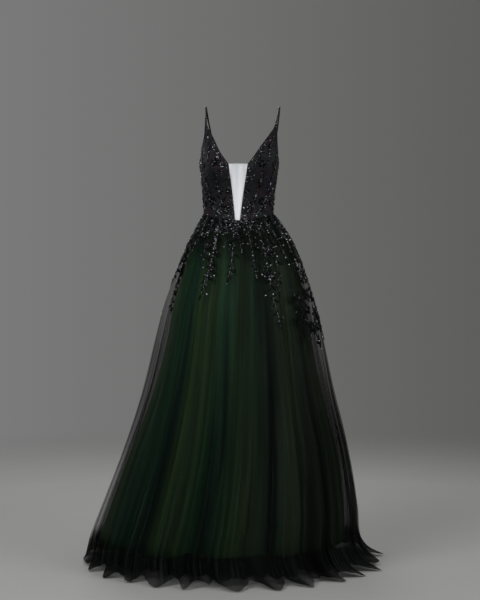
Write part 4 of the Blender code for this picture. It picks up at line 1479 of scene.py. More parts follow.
# ---------------------------------------------------------------- the bodice
@dataclass
class Bodice:
    """The fronts, the backs, the plunge insert and the edge binding."""

    torso: Torso
    wall: float = 0.0020
    columns: int = 72
    front_rows: int = 110
    back_rows: int = 84
    fan_angle: float = -52.0
    fan_height: float = 1.262
    fan_depth: float = 0.0016
    insert_sink: float = 0.0026
    insert_columns: int = 26
    insert_rows: int = 60
    insert_lap: float = 0.12
    lap_on_front: float = 1 / 11
    binding_radius: float = 0.0013
    insert_hem_radius: float = 0.0009
    edge_points: int = 90
    edge_sides: int = 8

    def panel(self, part: str, hand: str, side: int) -> None:
        """Makes one front or back in its node's place.

        Args:
            part: front or back.
            hand: left or right.
            side: 1 for the wearer's left, -1 for the right.
        """
        is_front = part == "front"
        spot = self.torso.front_spot if is_front else self.torso.back_spot

        def place(across: Array, up: Array) -> Array:
            """The panel's points."""
            angle, height = spot(across if side > 0 else 1 - across, up)
            out = self.creases(side * angle, height) if is_front else 0.0
            return self.torso.place(side * angle, height, out)

        def unfold(across: Array, up: Array) -> Array:
            """The panel's flat places."""
            angle, height = spot(across if side > 0 else 1 - across, up)
            return np.stack([self.torso.girth(side * angle), height], axis=-1)

        rows = self.front_rows if is_front else self.back_rows
        name = f"lace_{part}_{hand}"
        mesh = cloth_grid(name, self.columns, rows, place, unfold)
        piece = add_piece(name, mesh, Finish.LACE, "lace", f"bodice_{part}_{hand}")
        mesh.materials.append(material_of(Finish.BODICE_LINING))
        wall = add_wall(piece, self.wall, -1)
        wall.material_offset = 1
        wall.use_even_offset = True
        log_cloth(piece, self.columns, rows)

    def creases(self, angle: Array, height: Array) -> Array:
        """How far the fronts' slanting creases under the bust stand out, in metres."""
        round_degrees = np.degrees(angle)
        aside, above = round_degrees - self.fan_angle, height - self.fan_height
        ridges = np.sin(330 * (above - 0.0012 * aside) + 0.9 * np.sin(0.16 * aside))
        near = hump(aside, 0.0, 15) * hump(above, 0.0, 0.024)
        other = hump(round_degrees, 38, 13) * hump(height, 1.235, 0.018)
        return self.fan_depth * ridges * (near + 0.6 * other)

    def build_panels(self) -> None:
        """Makes the two fronts and the two backs."""
        for part in ("front", "back"):
            for hand, side in SIDES:
                self.panel(part, hand, side)

    def front_point(self, side: int, share: Array, up: Array, out: float) -> Array:
        """Points of one front at shares across and up it, so far out from its outside."""
        angle, height = self.torso.front_spot(np.asarray(share, float), np.asarray(up, float))
        return self.torso.place(side * angle, height, out)

    def insert_point(self, side: int, share: Array, up: Array) -> Array:
        """Points of the plunge insert where it is sewn behind a front, at shares of the insert's height."""
        top = self.torso.row_share(self.torso.insert_top)
        return self.front_point(side, share, up * top, -self.insert_sink)

    def taut(self, up: Array) -> Array:
        """How far back the insert's middle is drawn, on a smooth curve through three of its edge's points."""
        shares = np.array([0, 0.5, 1])
        return np.polyval(np.polyfit(shares, self.insert_point(1, 0 * shares, shares)[:, 1], 2), up)

    def build_insert(self) -> None:
        """Makes the pale panel, sewn behind the fronts' inner edges and flat between them."""
        lap = self.insert_lap

        def place(across: Array, up: Array) -> Array:
            """The insert's points."""
            middle = np.clip((across - lap) / (1 - 2 * lap), 0, 1)[:, None]
            right, left = self.insert_point(-1, 0 * up, up), self.insert_point(1, 0 * up, up)
            points = right * (1 - middle) + left * middle
            reach = np.maximum(np.maximum(lap - across, across - (1 - lap)), 0) / lap * self.lap_on_front
            points = np.where((across < lap)[:, None], self.insert_point(-1, reach, up), points)
            points = np.where((across > 1 - lap)[:, None], self.insert_point(1, reach, up), points)
            held = smooth(np.minimum(across, 1 - across), 0.13, 0.26)
            points[:, 1] += held * (self.taut(up) - points[:, 1])
            return points

        def unfold(across: Array, up: Array) -> Array:
            """The insert's flat places, as seen from the front."""
            return place(across, up)[:, [0, 2]]

        name = "pale_plunge_insert"
        mesh = cloth_grid(name, self.insert_columns, self.insert_rows, place, unfold)
        piece = add_piece(name, mesh, Finish.NET, "pale_net", "plunge_insert")
        log_cloth(piece, self.insert_columns, self.insert_rows)

    def edges(self, side: int) -> list[Array]:
        """The middles of one side's walls along its edges.

        Args:
            side: 1 for the wearer's left, -1 for the right.

        Returns:
            The plunge's, the armhole's, the strap point's and the back's edge.
        """
        along = np.linspace(0.0, 1.0, self.edge_points)
        first, last, inside = 0 * along, 0 * along + 1, -self.wall / 2
        start = self.torso.row_share(self.torso.underarm)
        angle, height = self.torso.back_spot(along, last)
        return [
            self.front_point(side, first, along, inside),
            self.front_point(side, last, start + along * (1 - start), inside),
            self.front_point(side, along, last, inside),
            self.torso.place(side * angle, height, inside),
        ]

    def build_binding(self) -> None:
        """Makes the narrow satin binding of the edges and the insert's rolled upper hem."""
        tubes = []
        for _, side in SIDES:
            for path in self.edges(side):
                tubes.append(tube("binding", path, self.binding_radius, self.edge_sides))
        add_piece("satin_binding", joined("satin_binding", tubes), Finish.SATIN, "strap_satin")
        ends = [self.insert_point(side, np.zeros(1), np.ones(1))[0] for side in (-1, 1)]
        hem = tube("insert_top_hem", np.linspace(*ends, 24), self.insert_hem_radius, self.edge_sides)
        add_piece("insert_top_hem", hem, Finish.NET, "pale_net")


@dataclass
class Straps:
    """The two narrow straps over the shoulders, with the beads wound round their front ends."""

    bodice: Bodice
    radius: float = 0.0026
    sides: int = 14
    path_points: int = 120
    back_share: float = 4 / 9
    bead_count: int = 64
    bead_start: float = 0.002
    bead_run: float = 0.024
    route: tuple[tuple[float, float, float, float], ...] = (
        (0.16, 0.1175, -0.0500, 1.5120),
        (0.30, 0.1200, -0.0260, 1.5350),
        (0.42, 0.1213, 0.0000, 1.5436),
        (0.55, 0.1205, 0.0290, 1.5350),
        (0.70, 0.1160, 0.0610, 1.5000),
        (0.85, 0.1080, 0.0840, 1.4500),
    )

    def seats(self, side: int) -> tuple[Array, Array]:
        """Where a strap meets the front's tip and the back's top edge."""
        inside = -self.bodice.wall / 2
        tip = self.bodice.front_point(side, np.array([0.0, 1.0]), np.ones(2), inside)
        angle, height = self.bodice.torso.back_spot(np.array([self.back_share]), np.ones(1))
        return tip.mean(axis=0), self.bodice.torso.place(side * angle, height, inside)[0]

    def path(self, side: int) -> Array:
        """The strap's middle line.

        Args:
            side: 1 for the wearer's left, -1 for the right.

        Returns:
            Its points from front to back.
        """
        front, back = self.seats(side)
        rows = [(0.0, *front)]
        for along, across, depth, height in self.route:
            x = side * across + self.bodice.torso.turned * depth
            rows.append((along, x, depth, height - SHOULDER_HEIGHT))
        rows.append((1.0, *back))
        line = SmoothTable("x y z", rows).at(np.linspace(0, 1, self.path_points))
        return np.stack([line.x, line.y, line.z], axis=-1)

    def build(self) -> None:
        """Makes both straps, each in its node's place."""
        for hand, side in SIDES:
            name = f"satin_strap_{hand}"
            path = self.path(side)
            strap = tube(name, path, self.radius, self.sides)
            add_piece(name, strap, Finish.SATIN, "strap_satin", f"strap_{hand}")
            add_piece(f"strap_beads_{hand}", self.bead_winding(path, side), Finish.BEADS, "lace")

    def bead_winding(self, path: Array, side: int) -> Mesh:
        """Makes the beads wound round the strap just above the front.

        Args:
            path: the strap's middle line.
            side: 1 for the wearer's left, -1 for the right.

        Returns:
            The mesh.
        """
        draw = np.random.default_rng(70 + side)
        template = bead_shape(Motif.BEAD)
        shape = read_points(template) - (0, 0, 0.4)
        along = run_along(path)
        points, tones = [], []
        for _ in range(self.bead_count):
            reach = self.bead_start + self.bead_run * draw.uniform(0, 1) ** 1.2
            middle = np.array([np.interp(reach, along, line) for line in path.T])
            turn = draw.uniform(0, FULL_TURN)
            middle += self.radius * 1.25 * np.array([math.cos(turn), math.sin(turn), 0])
            points.append(middle + shape * draw.uniform(0.0022, 0.0036))
            tones.append(draw.choice([0.0, 0.2, 0.8], p=[0.72, 0.18, 0.10]))
        mesh = toned_copies("strap_beads", template, np.concatenate(points), tones)
        bpy.data.meshes.remove(template)
        return mesh


# ---------------------------------------------------------------- lace and beads
class Motif(Enum):
    """The small shapes that the ornament is made of."""

    LEAF = "leaf"
    PETAL = "petal"
    BEAD = "bead"
    BUGLE = "bugle"
    SEQUIN = "sequin"


def leaf_shape(columns: int, rows: int, width: float, fullness: float) -> Mesh:
    """A leaf of length one, pointed at both ends, with a raised midrib and side veins.

    Args:
        columns: the number of its squares across.
        rows: the number of its squares along.
        width: its width.
        fullness: how far along it is widest, from 0 to 1.

    Returns:
        The mesh: x across, y along from its stalk and z out.
    """

    def place(across: Array, up: Array) -> Array:
        """The leaf's points."""
        bend = up ** (math.log(0.5) / math.log(fullness))
        half = width / 2 * np.sin(math.pi * bend) ** 0.8 + 0.004
        share = 2 * across - 1
        vein = 0.018 * np.cos(FULL_TURN * 4 * (up - 0.35 * np.abs(share)))
        out = (1 - np.abs(share) ** 2) * (0.085 + vein) - 0.03 * hump(share, 0, 0.12)
        return np.stack([share * half, up, out * np.sin(math.pi * bend) ** 0.5], axis=-1)

    return cloth_grid("leaf", columns, rows, place, lambda across, up: np.stack([across, up], axis=-1))


def bead_shape(motif: Motif) -> Mesh:
    """Makes a bead, bugle or sequin of unit size that lies on the cloth.

    Args:
        motif: which of them.

    Returns:
        The mesh.
    """
    bm = bmesh.new()
    if motif is Motif.BEAD:
        bmesh.ops.create_icosphere(bm, subdivisions=1, radius=0.5)
        bmesh.ops.translate(bm, verts=bm.verts, vec=(0, 0, 0.4))
    elif motif is Motif.BUGLE:
        lying = Matrix.Translation((0, 0, 0.18)) @ Matrix.Rotation(math.pi / 2, 4, "X")
        bmesh.ops.create_cone(
            bm, cap_ends=True, segments=6, radius1=0.2, radius2=0.2, depth=1.0, matrix=lying
        )
    else:
        bmesh.ops.create_circle(bm, cap_ends=True, cap_tris=True, segments=8, radius=0.5)
        middle = min(bm.verts, key=lambda vertex: vertex.co.length)
        middle.co.z -= 0.09
        bmesh.ops.translate(bm, verts=bm.verts, vec=(0, 0, 0.2))
    return to_mesh(bm, motif.value)


class Spot(NamedTuple):
    """Where one copy of a motif lies, and how.

    The heading is an angle from straight up towards the viewer's right, and the tone runs from 0,
    dark, to 1, light. The lift is how far it stands off the cloth, and the tilt how far it leans.
    """

    angle: float
    height: float
    heading: float
    size: float
    tone: float
    lift: float
    tilt: float = 0.0


@dataclass(frozen=True)
class Line:
    """A bowed line on the cloth: its places and headings at even shares, and its length."""

    angles: Array
    heights: Array
    headings: Array
    length: float

    def at(self, share: float) -> tuple[float, float, float]:
        """The round angle, the height and the heading at a share of the way along."""
        even = np.linspace(0, 1, len(self.angles))
        angle, height, heading = (
            float(np.interp(share, even, values)) for values in (self.angles, self.heights, self.headings)
        )
        return angle, height, heading


class Ornament:
    """Lays leaves, petals, stems and beads on the gown's outside."""

    MARGIN = 0.0022
    STEM_MARGIN = 0.0015
    STEM_TONE = 0.45
    LINE_POINTS = 41
    FLOWER_RINGS = ((1.0, 0.0007, 0.0), (0.62, 0.0014, 0.5))

    def __init__(self, outside: Outside, seed: int) -> None:
        """Starts with empty hands on a surface, with the seed of its draws."""
        self.outside = outside
        self.draw = np.random.default_rng(seed)
        self.places: dict[Motif, list[Spot]] = {motif: [] for motif in Motif}
        self.stems: list[tuple[Array, Array, float]] = []

    def step(self, angle: float, height: float, heading: float, length: float) -> tuple[float, float]:
        """The place so far along the cloth in a heading."""
        per_radian, per_height = self.outside.measures(np.array([angle]), np.array([height]))
        return (
            angle + math.sin(heading) * length / float(per_radian[0]),
            height + math.cos(heading) * length / float(per_height[0]),
        )

    def pick(self, low: float, high: float) -> float:
        """A seeded value from low to high."""
        return float(self.draw.uniform(low, high))

    def jitter(self, reach: float) -> float:
        """A seeded value from -reach to reach."""
        return self.pick(-reach, reach)

    def put(self, motif: Motif, *row: float) -> None:
        """Keeps a place for one copy of a motif, given as a Spot's values."""
        self.places[motif].append(Spot(*row))

    def leaf(self, angle: float, height: float, heading: float, length: float) -> None:
        """Adds a leaf with dark beads along its rib and sometimes one at its point.

        Args:
            angle: its foot's round angle.
            height: its foot's height.
            heading: which way it points.
            length: its length.
        """
        self.put(Motif.LEAF, angle, height, heading, length, self.pick(0, 1) ** 1.5, 0.0006)
        for share in (0.3, 0.6):
            self.bead(*self.step(angle, height, heading, length * share), lift=0.0012, bright=0.05)
        if self.draw.random() < 0.4:
            self.bead(*self.step(angle, height, heading, length * 1.06), bright=0.25)

    def bead(
        self, angle: float, height: float, size: float = 0.0026, lift: float = 0.0004, bright: float = 0.2
    ) -> None:
        """Adds one round bead, jet or, by the given share, bright."""
        tones = (0.35, 0.7, 1.0) if self.draw.random() < bright else (0.0, 0.06)
        tone = float(self.draw.choice(tones))
        self.put(Motif.BEAD, angle, height, 0.0, size * self.pick(0.75, 1.25), tone, lift)

    def sequin(self, angle: float, height: float) -> None:
        """Adds one sequin that leans a little."""
        tone, heading = self.pick(0, 1) ** 3, self.jitter(math.pi)
        size, tilt = self.pick(0.0026, 0.0040), self.jitter(0.5)
        self.put(Motif.SEQUIN, angle, height, heading, size, tone, 0.0006, tilt)

    def bugle(self, angle: float, height: float, heading: float) -> None:
        """Adds one bugle bead."""
        tone = float(self.draw.choice([0.0, 0.3, 0.9], p=[0.5, 0.2, 0.3]))
        self.put(Motif.BUGLE, angle, height, heading, self.pick(0.004, 0.0065), tone, 0.0006)

    def flower(self, angle: float, height: float, size: float, petals: int = 6) -> None:
        """Adds a flower: a ring of petals, a smaller ring on it and a beaded middle.

        Args:
            angle: its middle's round angle.
            height: its middle's height.
            size: its width.
            petals: the number of petals in each ring.
        """
        first, petal_turn = self.jitter(math.pi), FULL_TURN / petals
        for ring, (share, lift, offset) in enumerate(self.FLOWER_RINGS):
            for index in range(petals):
                heading = first + (index + offset) * petal_turn + self.jitter(0.08)
                tone = self.pick(0.1, 0.9) * (0.6 + 0.4 * ring)
                self.put(Motif.PETAL, angle, height, heading, share * size / 2, tone, lift)
        for index in range(petals + 1):
            reach = 0.0 if index == petals else size * 0.09
            spot = self.step(angle, height, first + index * petal_turn, reach)
            self.bead(*spot, size=0.0030, lift=0.0016, bright=0.06)
        for index in range(0, petals, 2):
            self.sequin(*self.step(angle, height, first + (index + 0.5) * petal_turn, size * 0.27))

    def line(self, start: tuple[float, float], end: tuple[float, float], bow: float) -> Line:
        """Draws a bowed line on the cloth.

        Args:
            start: the round angle in degrees and the height of its foot.
            end: the same for its point.
            bow: how far its middle bows to the side, in metres.

        Returns:
            The line.
        """
        from_angle, to_angle = math.radians(start[0]), math.radians(end[0])
        share = np.linspace(0, 1, self.LINE_POINTS)
        middle = np.array([(from_angle + to_angle) / 2]), np.array([(start[1] + end[1]) / 2])
        per_radian, per_height = (float(value[0]) for value in self.outside.measures(*middle))
        run = np.array([(to_angle - from_angle) * per_radian, (end[1] - start[1]) * per_height])
        length = float(np.hypot(*run))
        sideways = np.array([run[1], -run[0]]) / max(length, 1e-6)
        sway = bow * np.sin(math.pi * share) + 0.25 * bow * np.sin(FULL_TURN * share + 1)
        angles = from_angle + (run[0] * share + sideways[0] * sway) / per_radian
        heights = start[1] + (run[1] * share + sideways[1] * sway) / per_height
        headings = np.arctan2(np.gradient(angles) * per_radian, np.gradient(heights) * per_height)
        return Line(angles, heights, headings, length)

    def spray(
        self, start: tuple[float, float], end: tuple[float, float], bow: float, leaf: float,
        spacing: float = 0.013, bead_gap: float = 0.0060, bright: float = 0.42, sequin_gap: float = 0.022,
    ) -> None:
        """Adds a bowed stem with paired leaves, tendrils, beads and sequins.

        Args:
            start: the round angle in degrees and the height of its foot.
            end: the same for its point.
            bow: how far its middle bows to the side, in metres.
            leaf: the length of its largest leaves.
            spacing: the distance between its leaves.
            bead_gap: the distance between the beads on its stem.
            bright: the share of those beads that is bright.
            sequin_gap: the distance between the sequins and bugles round it.
        """
        line = self.line(start, end, bow)
        self.stems.append((line.angles, line.heights, 0.0008))
        leaves = max(int(line.length / spacing), 3)
        for index in range(leaves):
            at = (index + 0.5) / leaves
            angle, height, heading = line.at(at)
            size = leaf * (0.55 + 0.45 * math.sin(math.pi * (0.25 + 0.7 * at))) * self.pick(0.6, 1.2)
            hand = 1 if index % 2 else -1
            self.leaf(angle, height, heading + hand * (0.75 + self.jitter(0.4)), size)
            if index % 3 == 1:
                self.tendril(angle, height, heading - hand * 0.5, size * 1.3, hand)
        self.leaf(*line.at(1.0), leaf * 0.8)
        for at in np.arange(0, 1, bead_gap / line.length):
            self.bead(*line.at(at)[:2], lift=0.0010, bright=bright)
        for _ in range(int(line.length / sequin_gap)):
            angle, height, _ = line.at(self.pick(0, 1))
            near = self.step(angle, height, self.jitter(math.pi), self.pick(0.004, leaf))
            if self.draw.random() < 0.7:
                self.sequin(*near)
            else:
                self.bugle(*near, self.jitter(math.pi))

    def tendril(self, angle: float, height: float, heading: float, length: float, hand: int) -> None:
        """Adds a thin curl with a bud of beads at its end.

        Args:
            angle: its foot's round angle.
            height: its foot's height.
            heading: which way it sets out.
            length: its length.
            hand: which way it curls: 1 or -1.
        """
        angles, heights = [angle], [height]
        for _ in range(8):
            angle, height = self.step(angle, height, heading, length / 8)
            heading += hand * 0.16
            angles.append(angle)
            heights.append(height)
        self.stems.append((np.array(angles), np.array(heights), 0.0005))
        self.bead(angle, height, size=0.0034)
        for turned in (0.0, 2.1, 4.2):
            self.bead(*self.step(angle, height, heading + turned, 0.003), size=0.0022)

    def cluster(self, angle: float, height: float, reach: float, count: int) -> None:
        """Scatters beads and sequins round a place, closest at its middle.

        Args:
            angle: its middle's round angle in degrees.
            height: its middle's height.
            reach: how far the beads lie from it at most.
            count: their number.
        """
        for _ in range(count):
            away = reach * self.pick(0, 1) ** 0.7
            spot = self.step(math.radians(angle), height, self.jitter(math.pi), away)
            if self.draw.random() < 0.65:
                self.bead(*spot, size=0.0028)
            else:
                self.sequin(*spot)

    def lay(self, name: str, motif: Motif, template: Mesh, finish: Finish) -> Piece | None:
        """Lays every copy of one motif as one piece.

        Args:
            name: the piece's name.
            motif: the motif.
            template: its shape.
            finish: its finish.

        Returns:
            The piece, or None where there is no place for it.
        """
        spots = self.places[motif]
        if not spots:
            return None
        angle, height, heading, size, tone, lift, tilt = self.on_cloth(motif, np.array(spots)).T
        x, y, z = np.moveaxis(read_points(template)[None] * size[:, None, None], -1, 0)
        z = z + x * np.tan(tilt)[:, None] + np.abs(tilt)[:, None] * size[:, None] / 2
        sine, cosine = np.sin(heading)[:, None], np.cos(heading)[:, None]
        local = np.stack([x * cosine + y * sine, y * cosine - x * sine, z + lift[:, None]], axis=-1)
        points = self.outside.lay(angle, height, local)
        mesh = toned_copies(name, template, points.reshape(-1, 3), tone)
        return add_piece(name, mesh, finish, "lace")

    def on_cloth(self, motif: Motif, rows: Array) -> Array:
        """The rows of a motif's copies that lie wholly on the cloth, from foot to point."""
        angle, height, heading, size = rows[:, :4].T
        reach = size if motif in (Motif.LEAF, Motif.PETAL) else 0.5 * size
        per_radian, per_height = self.outside.measures(angle, height)
        tip = angle + np.sin(heading) * reach / per_radian, height + np.cos(heading) * reach / per_height
        covers = self.outside.torso.covers
        return rows[covers(angle, height, self.MARGIN) & covers(*tip, self.MARGIN)]

    def lay_stems(self, name: str) -> Piece:
        """Lays every stem as one piece.

        Args:
            name: the piece's name.

        Returns:
            The piece.
        """
        meshes = []
        for angles, heights, radius in self.stems:
            kept = self.outside.torso.covers(angles, heights, self.STEM_MARGIN)
            angles, heights = angles[kept], heights[kept]
            count = len(angles)
            if count < 4:
                continue
            local = np.zeros((count, 1, 3))
            local[..., 2] = radius * 0.6 + 0.0005
            path = self.outside.lay(angles, heights, local)[:, 0]
            meshes.append(tube("stem", path, np.linspace(radius, radius * 0.55, count), 5))
        mesh = joined(name, meshes)
        write_values(mesh, "tone", np.full(len(mesh.vertices), self.STEM_TONE))
        return add_piece(name, mesh, Finish.THREAD, "lace")


@dataclass(frozen=True)
class SprayRow:
    """One spray of the bodice on the wearer's left: its foot, its point, its bow and its leaves."""

    start: tuple[float, float]
    end: tuple[float, float]
    bow: float
    leaf: float


@dataclass
class LaceWork:
    """The ornament's layout on the bodice and the hips."""

    outside: Outside
    front_sprays: tuple[SprayRow, ...] = (
        SprayRow((6, 1.178), (11.5, 1.330), -0.003, 0.013),
        SprayRow((10, 1.182), (33, 1.318), 0.012, 0.019),
        SprayRow((24, 1.186), (54, 1.300), 0.016, 0.020),
        SprayRow((46, 1.196), (72, 1.285), -0.010, 0.018),
        SprayRow((72, 1.200), (82, 1.365), 0.010, 0.018),
        SprayRow((22, 1.312), (40, 1.425), -0.012, 0.017),
        SprayRow((42, 1.352), (51, 1.462), 0.004, 0.013),
        SprayRow((58, 1.312), (68, 1.385), 0.006, 0.015),
        SprayRow((17, 1.345), (36, 1.402), 0.002, 0.011),
    )
    back_sprays: tuple[SprayRow, ...] = (
        SprayRow((101, 1.200), (104, 1.360), 0.010, 0.019),
        SprayRow((122, 1.200), (136, 1.350), -0.012, 0.020),
        SprayRow((148, 1.200), (160, 1.300), 0.012, 0.019),
        SprayRow((172, 1.198), (167, 1.285), -0.006, 0.015),
        SprayRow((116, 1.290), (124, 1.378), 0.006, 0.015),
        SprayRow((142, 1.270), (146, 1.350), -0.006, 0.014),
    )
    bodice_flowers: tuple[tuple[float, float, float], ...] = (
        (17, 1.205, 0.026), (40, 1.232, 0.030), (66, 1.225, 0.026), (30, 1.352, 0.030),
        (58, 1.350, 0.024), (12, 1.262, 0.018), (86, 1.290, 0.024), (45, 1.405, 0.020),
        (112, 1.240, 0.030), (140, 1.235, 0.028), (165, 1.240, 0.024), (126, 1.330, 0.026),
        (96, 1.340, 0.022), (152, 1.295, 0.020),
    )
    hip_points: tuple[tuple[float, float, float], ...] = (
        (-176, 0.16, 14), (-148, 0.28, 16), (-116, 0.31, 15), (-86, 0.21, 13), (-60, 0.12, 10),
        (-33, 0.25, 12), (-11, 0.19, 7), (2, 0.11, 6), (14, 0.18, 8), (30, 0.34, 11), (50, 0.14, 9),
        (67, 0.21, 10), (84, 0.40, 14), (120, 0.30, 15), (150, 0.27, 16), (176, 0.16, 14),
    )
    side_flowers: tuple[tuple[float, float, float], ...] = (
        (-92, 1.085, 0.046), (-82, 1.045, 0.050), (-95, 1.005, 0.042), (-84, 0.975, 0.036),
        (-72, 1.120, 0.042), (-104, 1.050, 0.044), (-50, 1.125, 0.034), (-36, 1.085, 0.028),
        (-112, 1.000, 0.044), (-132, 1.010, 0.040), (-152, 1.085, 0.042), (-170, 1.110, 0.036),
        (-118, 0.930, 0.034), (-145, 0.960, 0.036),
        (78, 1.110, 0.046), (90, 1.085, 0.050), (72, 1.055, 0.046), (84, 1.035, 0.052),
        (94, 1.005, 0.044), (76, 0.990, 0.046), (88, 0.955, 0.048), (79, 0.915, 0.044),
        (90, 0.885, 0.046), (82, 0.850, 0.050), (76, 0.820, 0.036), (88, 0.812, 0.036),
        (52, 0.915, 0.036), (60, 0.880, 0.046), (53, 0.845, 0.042), (64, 0.820, 0.046), (72, 0.860, 0.046),
        (57, 0.790, 0.040), (69, 0.770, 0.040), (66, 0.930, 0.040), (54, 1.120, 0.034), (31, 1.070, 0.030),
        (-6, 1.003, 0.018), (21, 0.987, 0.020), (20, 0.924, 0.018), (28, 0.985, 0.024), (108, 1.060, 0.044),
        (128, 1.030, 0.040), (150, 1.090, 0.042), (170, 1.110, 0.036), (118, 0.940, 0.036),
        (145, 0.960, 0.036),
    )
    SHORT_SPRAYS: ClassVar[tuple[int, ...]] = (4, 13, 24, 38, 58, 82, 100, 116, 132, 150, 168)
    LONG_POINT: ClassVar[float] = 0.22
    SIDE_BRANCHES: ClassVar[tuple[tuple[float, float], ...]] = ((0.42, 0.72), (-0.42, 0.62))

    def bodice(self, side: int) -> Ornament:
        """Lays out the ornament of one side of the bodice.

        Args:
            side: 1 for the wearer's left, -1 for the right.

        Returns:
            The ornament.
        """
        hand = Ornament(self.outside, 40 + side)
        drop, turned = (0.0, 0.0) if side > 0 else (0.004, 1.5)
        for row in self.front_sprays + self.back_sprays:
            start = (side * row.start[0], row.start[1] + drop * 0.5)
            end = (side * (row.end[0] - turned), row.end[1] - drop)
            hand.spray(start, end, side * row.bow, row.leaf, bright=0.34, sequin_gap=0.030)
        for angle, height, size in self.bodice_flowers:
            hand.flower(side * math.radians(angle + hand.jitter(1.5)), height + hand.jitter(0.004), size)
        for angle, height, reach, count in (
            (7, 1.185, 0.024, 50), (16, 1.200, 0.026, 34), (30, 1.205, 0.026, 22), (9, 1.225, 0.014, 20),
            (50, 1.215, 0.024, 16), (75, 1.230, 0.022, 12), (35, 1.300, 0.024, 12), (14, 1.300, 0.010, 10),
            (28, 1.370, 0.016, 10), (45, 1.430, 0.012, 8), (50, 1.470, 0.006, 8), (60, 1.390, 0.014, 6),
            (110, 1.230, 0.030, 26), (150, 1.215, 0.028, 24), (125, 1.300, 0.024, 18),
            (170, 1.225, 0.014, 14),
        ):
            hand.cluster(side * angle, height, reach, count)
        for up in np.linspace(0.02, 1.0, 46):
            angle, height = self.outside.torso.front_spot(np.array([0.03]), np.array([up]))
            hand.bead(side * float(angle[0]), float(height[0]), size=0.0024)
        return hand

    def seam_height(self, angle: float) -> float:
        """The waist seam's height at a round angle in degrees."""
        return float(self.outside.torso.waist_seam(np.array(math.radians(angle))))

    def hips(self, side: int) -> Ornament:
        """Lays out the ornament of one hip, from the waist seam down over the outer tulle.

        Args:
            side: 1 for the wearer's left, -1 for the right.

        Returns:
            The ornament.
        """
        hand = Ornament(self.outside, 60 + side)
        self.lay_points(hand, [point for point in self.hip_points if point[0] * side > 0], side)
        for angle in self.SHORT_SPRAYS:
            top = self.seam_height(angle)
            start = (side * angle, top + 0.002)
            end = (side * (angle + hand.jitter(3.5)), top - 0.046 - hand.jitter(0.016))
            bright = 0.24 if angle < 40 else 0.06
            hand.spray(start, end, hand.jitter(0.006), 0.016, 0.013, 0.010, bright, 0.03)
        for angle, height, size in self.side_flowers:
            if angle * side > 0:
                hand.flower(math.radians(angle), height, size)
                for _ in range(5):
                    foot = hand.step(math.radians(angle), height, hand.jitter(math.pi), size * 0.3)
                    hand.leaf(*foot, hand.jitter(math.pi), size * 0.55)
        for angle, height, reach, count in (
            (4, 1.160, 0.020, 40), (13, 1.150, 0.026, 26), (25, 1.140, 0.028, 18), (40, 1.150, 0.030, 8),
            (60, 1.155, 0.030, 5), (78, 1.150, 0.030, 5), (28, 1.070, 0.026, 22), (31, 0.990, 0.020, 10),
            (12, 1.090, 0.016, 12), (88, 1.080, 0.034, 10), (84, 0.860, 0.026, 10), (120, 1.130, 0.036, 16),
            (150, 1.130, 0.036, 16), (172, 1.140, 0.030, 14),
        ):
            hand.cluster(side * angle, height, reach, count)
        return hand

    def lay_points(self, hand: Ornament, points: Sequence[tuple[float, float, float]], side: int) -> None:
        """Lays out the long pointed sprays, with two branches each on the longest.

        Args:
            hand: the hip's ornament.
            points: each point's round angle in degrees, its length and its width in degrees.
            side: 1 for the wearer's left, -1 for the right.
        """
        for angle, length, width in points:
            top = self.seam_height(angle) + 0.004
            inner = angle - side * hand.pick(0.2, 0.7) * width
            leaf = 0.020 + 0.0007 * width
            hand.spray((inner, top), (angle, top - length), side * 0.010, leaf)
            for share, reach in self.SIDE_BRANCHES if length > self.LONG_POINT else ():
                start = (angle + share * width * 0.8, top - 0.004)
                end = (angle + share * width * 0.55, top - length * reach)
                hand.spray(start, end, -math.copysign(0.010, share), leaf * 0.8, 0.016, bright=0.14)

    def build(self) -> dict[str, list[Piece]]:
        """Lays all the ornament.

        Returns:
            The pieces of each area.
        """
        shapes = {
            Motif.LEAF: leaf_shape(4, 8, 0.40, 0.42),
            Motif.PETAL: leaf_shape(4, 5, 0.62, 0.60),
            **{motif: bead_shape(motif) for motif in (Motif.BEAD, Motif.BUGLE, Motif.SEQUIN)},
        }
        finishes = {Motif.LEAF: Finish.THREAD, Motif.PETAL: Finish.THREAD, Motif.SEQUIN: Finish.SEQUINS}
        laid: dict[str, list[Piece]] = {}
        for hand, side in SIDES:
            for area, ornament in (("bodice", self.bodice(side)), ("hip", self.hips(side))):
                key = f"{area}_{hand}"
                laid[key] = [ornament.lay_stems(f"{key}_stems")]
                for motif, shape in shapes.items():
                    finish = finishes.get(motif, Finish.BEADS)
                    piece = ornament.lay(f"{key}_{motif.value}s", motif, shape, finish)
                    if piece:
                        laid[key].append(piece)
            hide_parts(f"hip_lace_{hand}")
        for shape in shapes.values():
            bpy.data.meshes.remove(shape)
        return laid


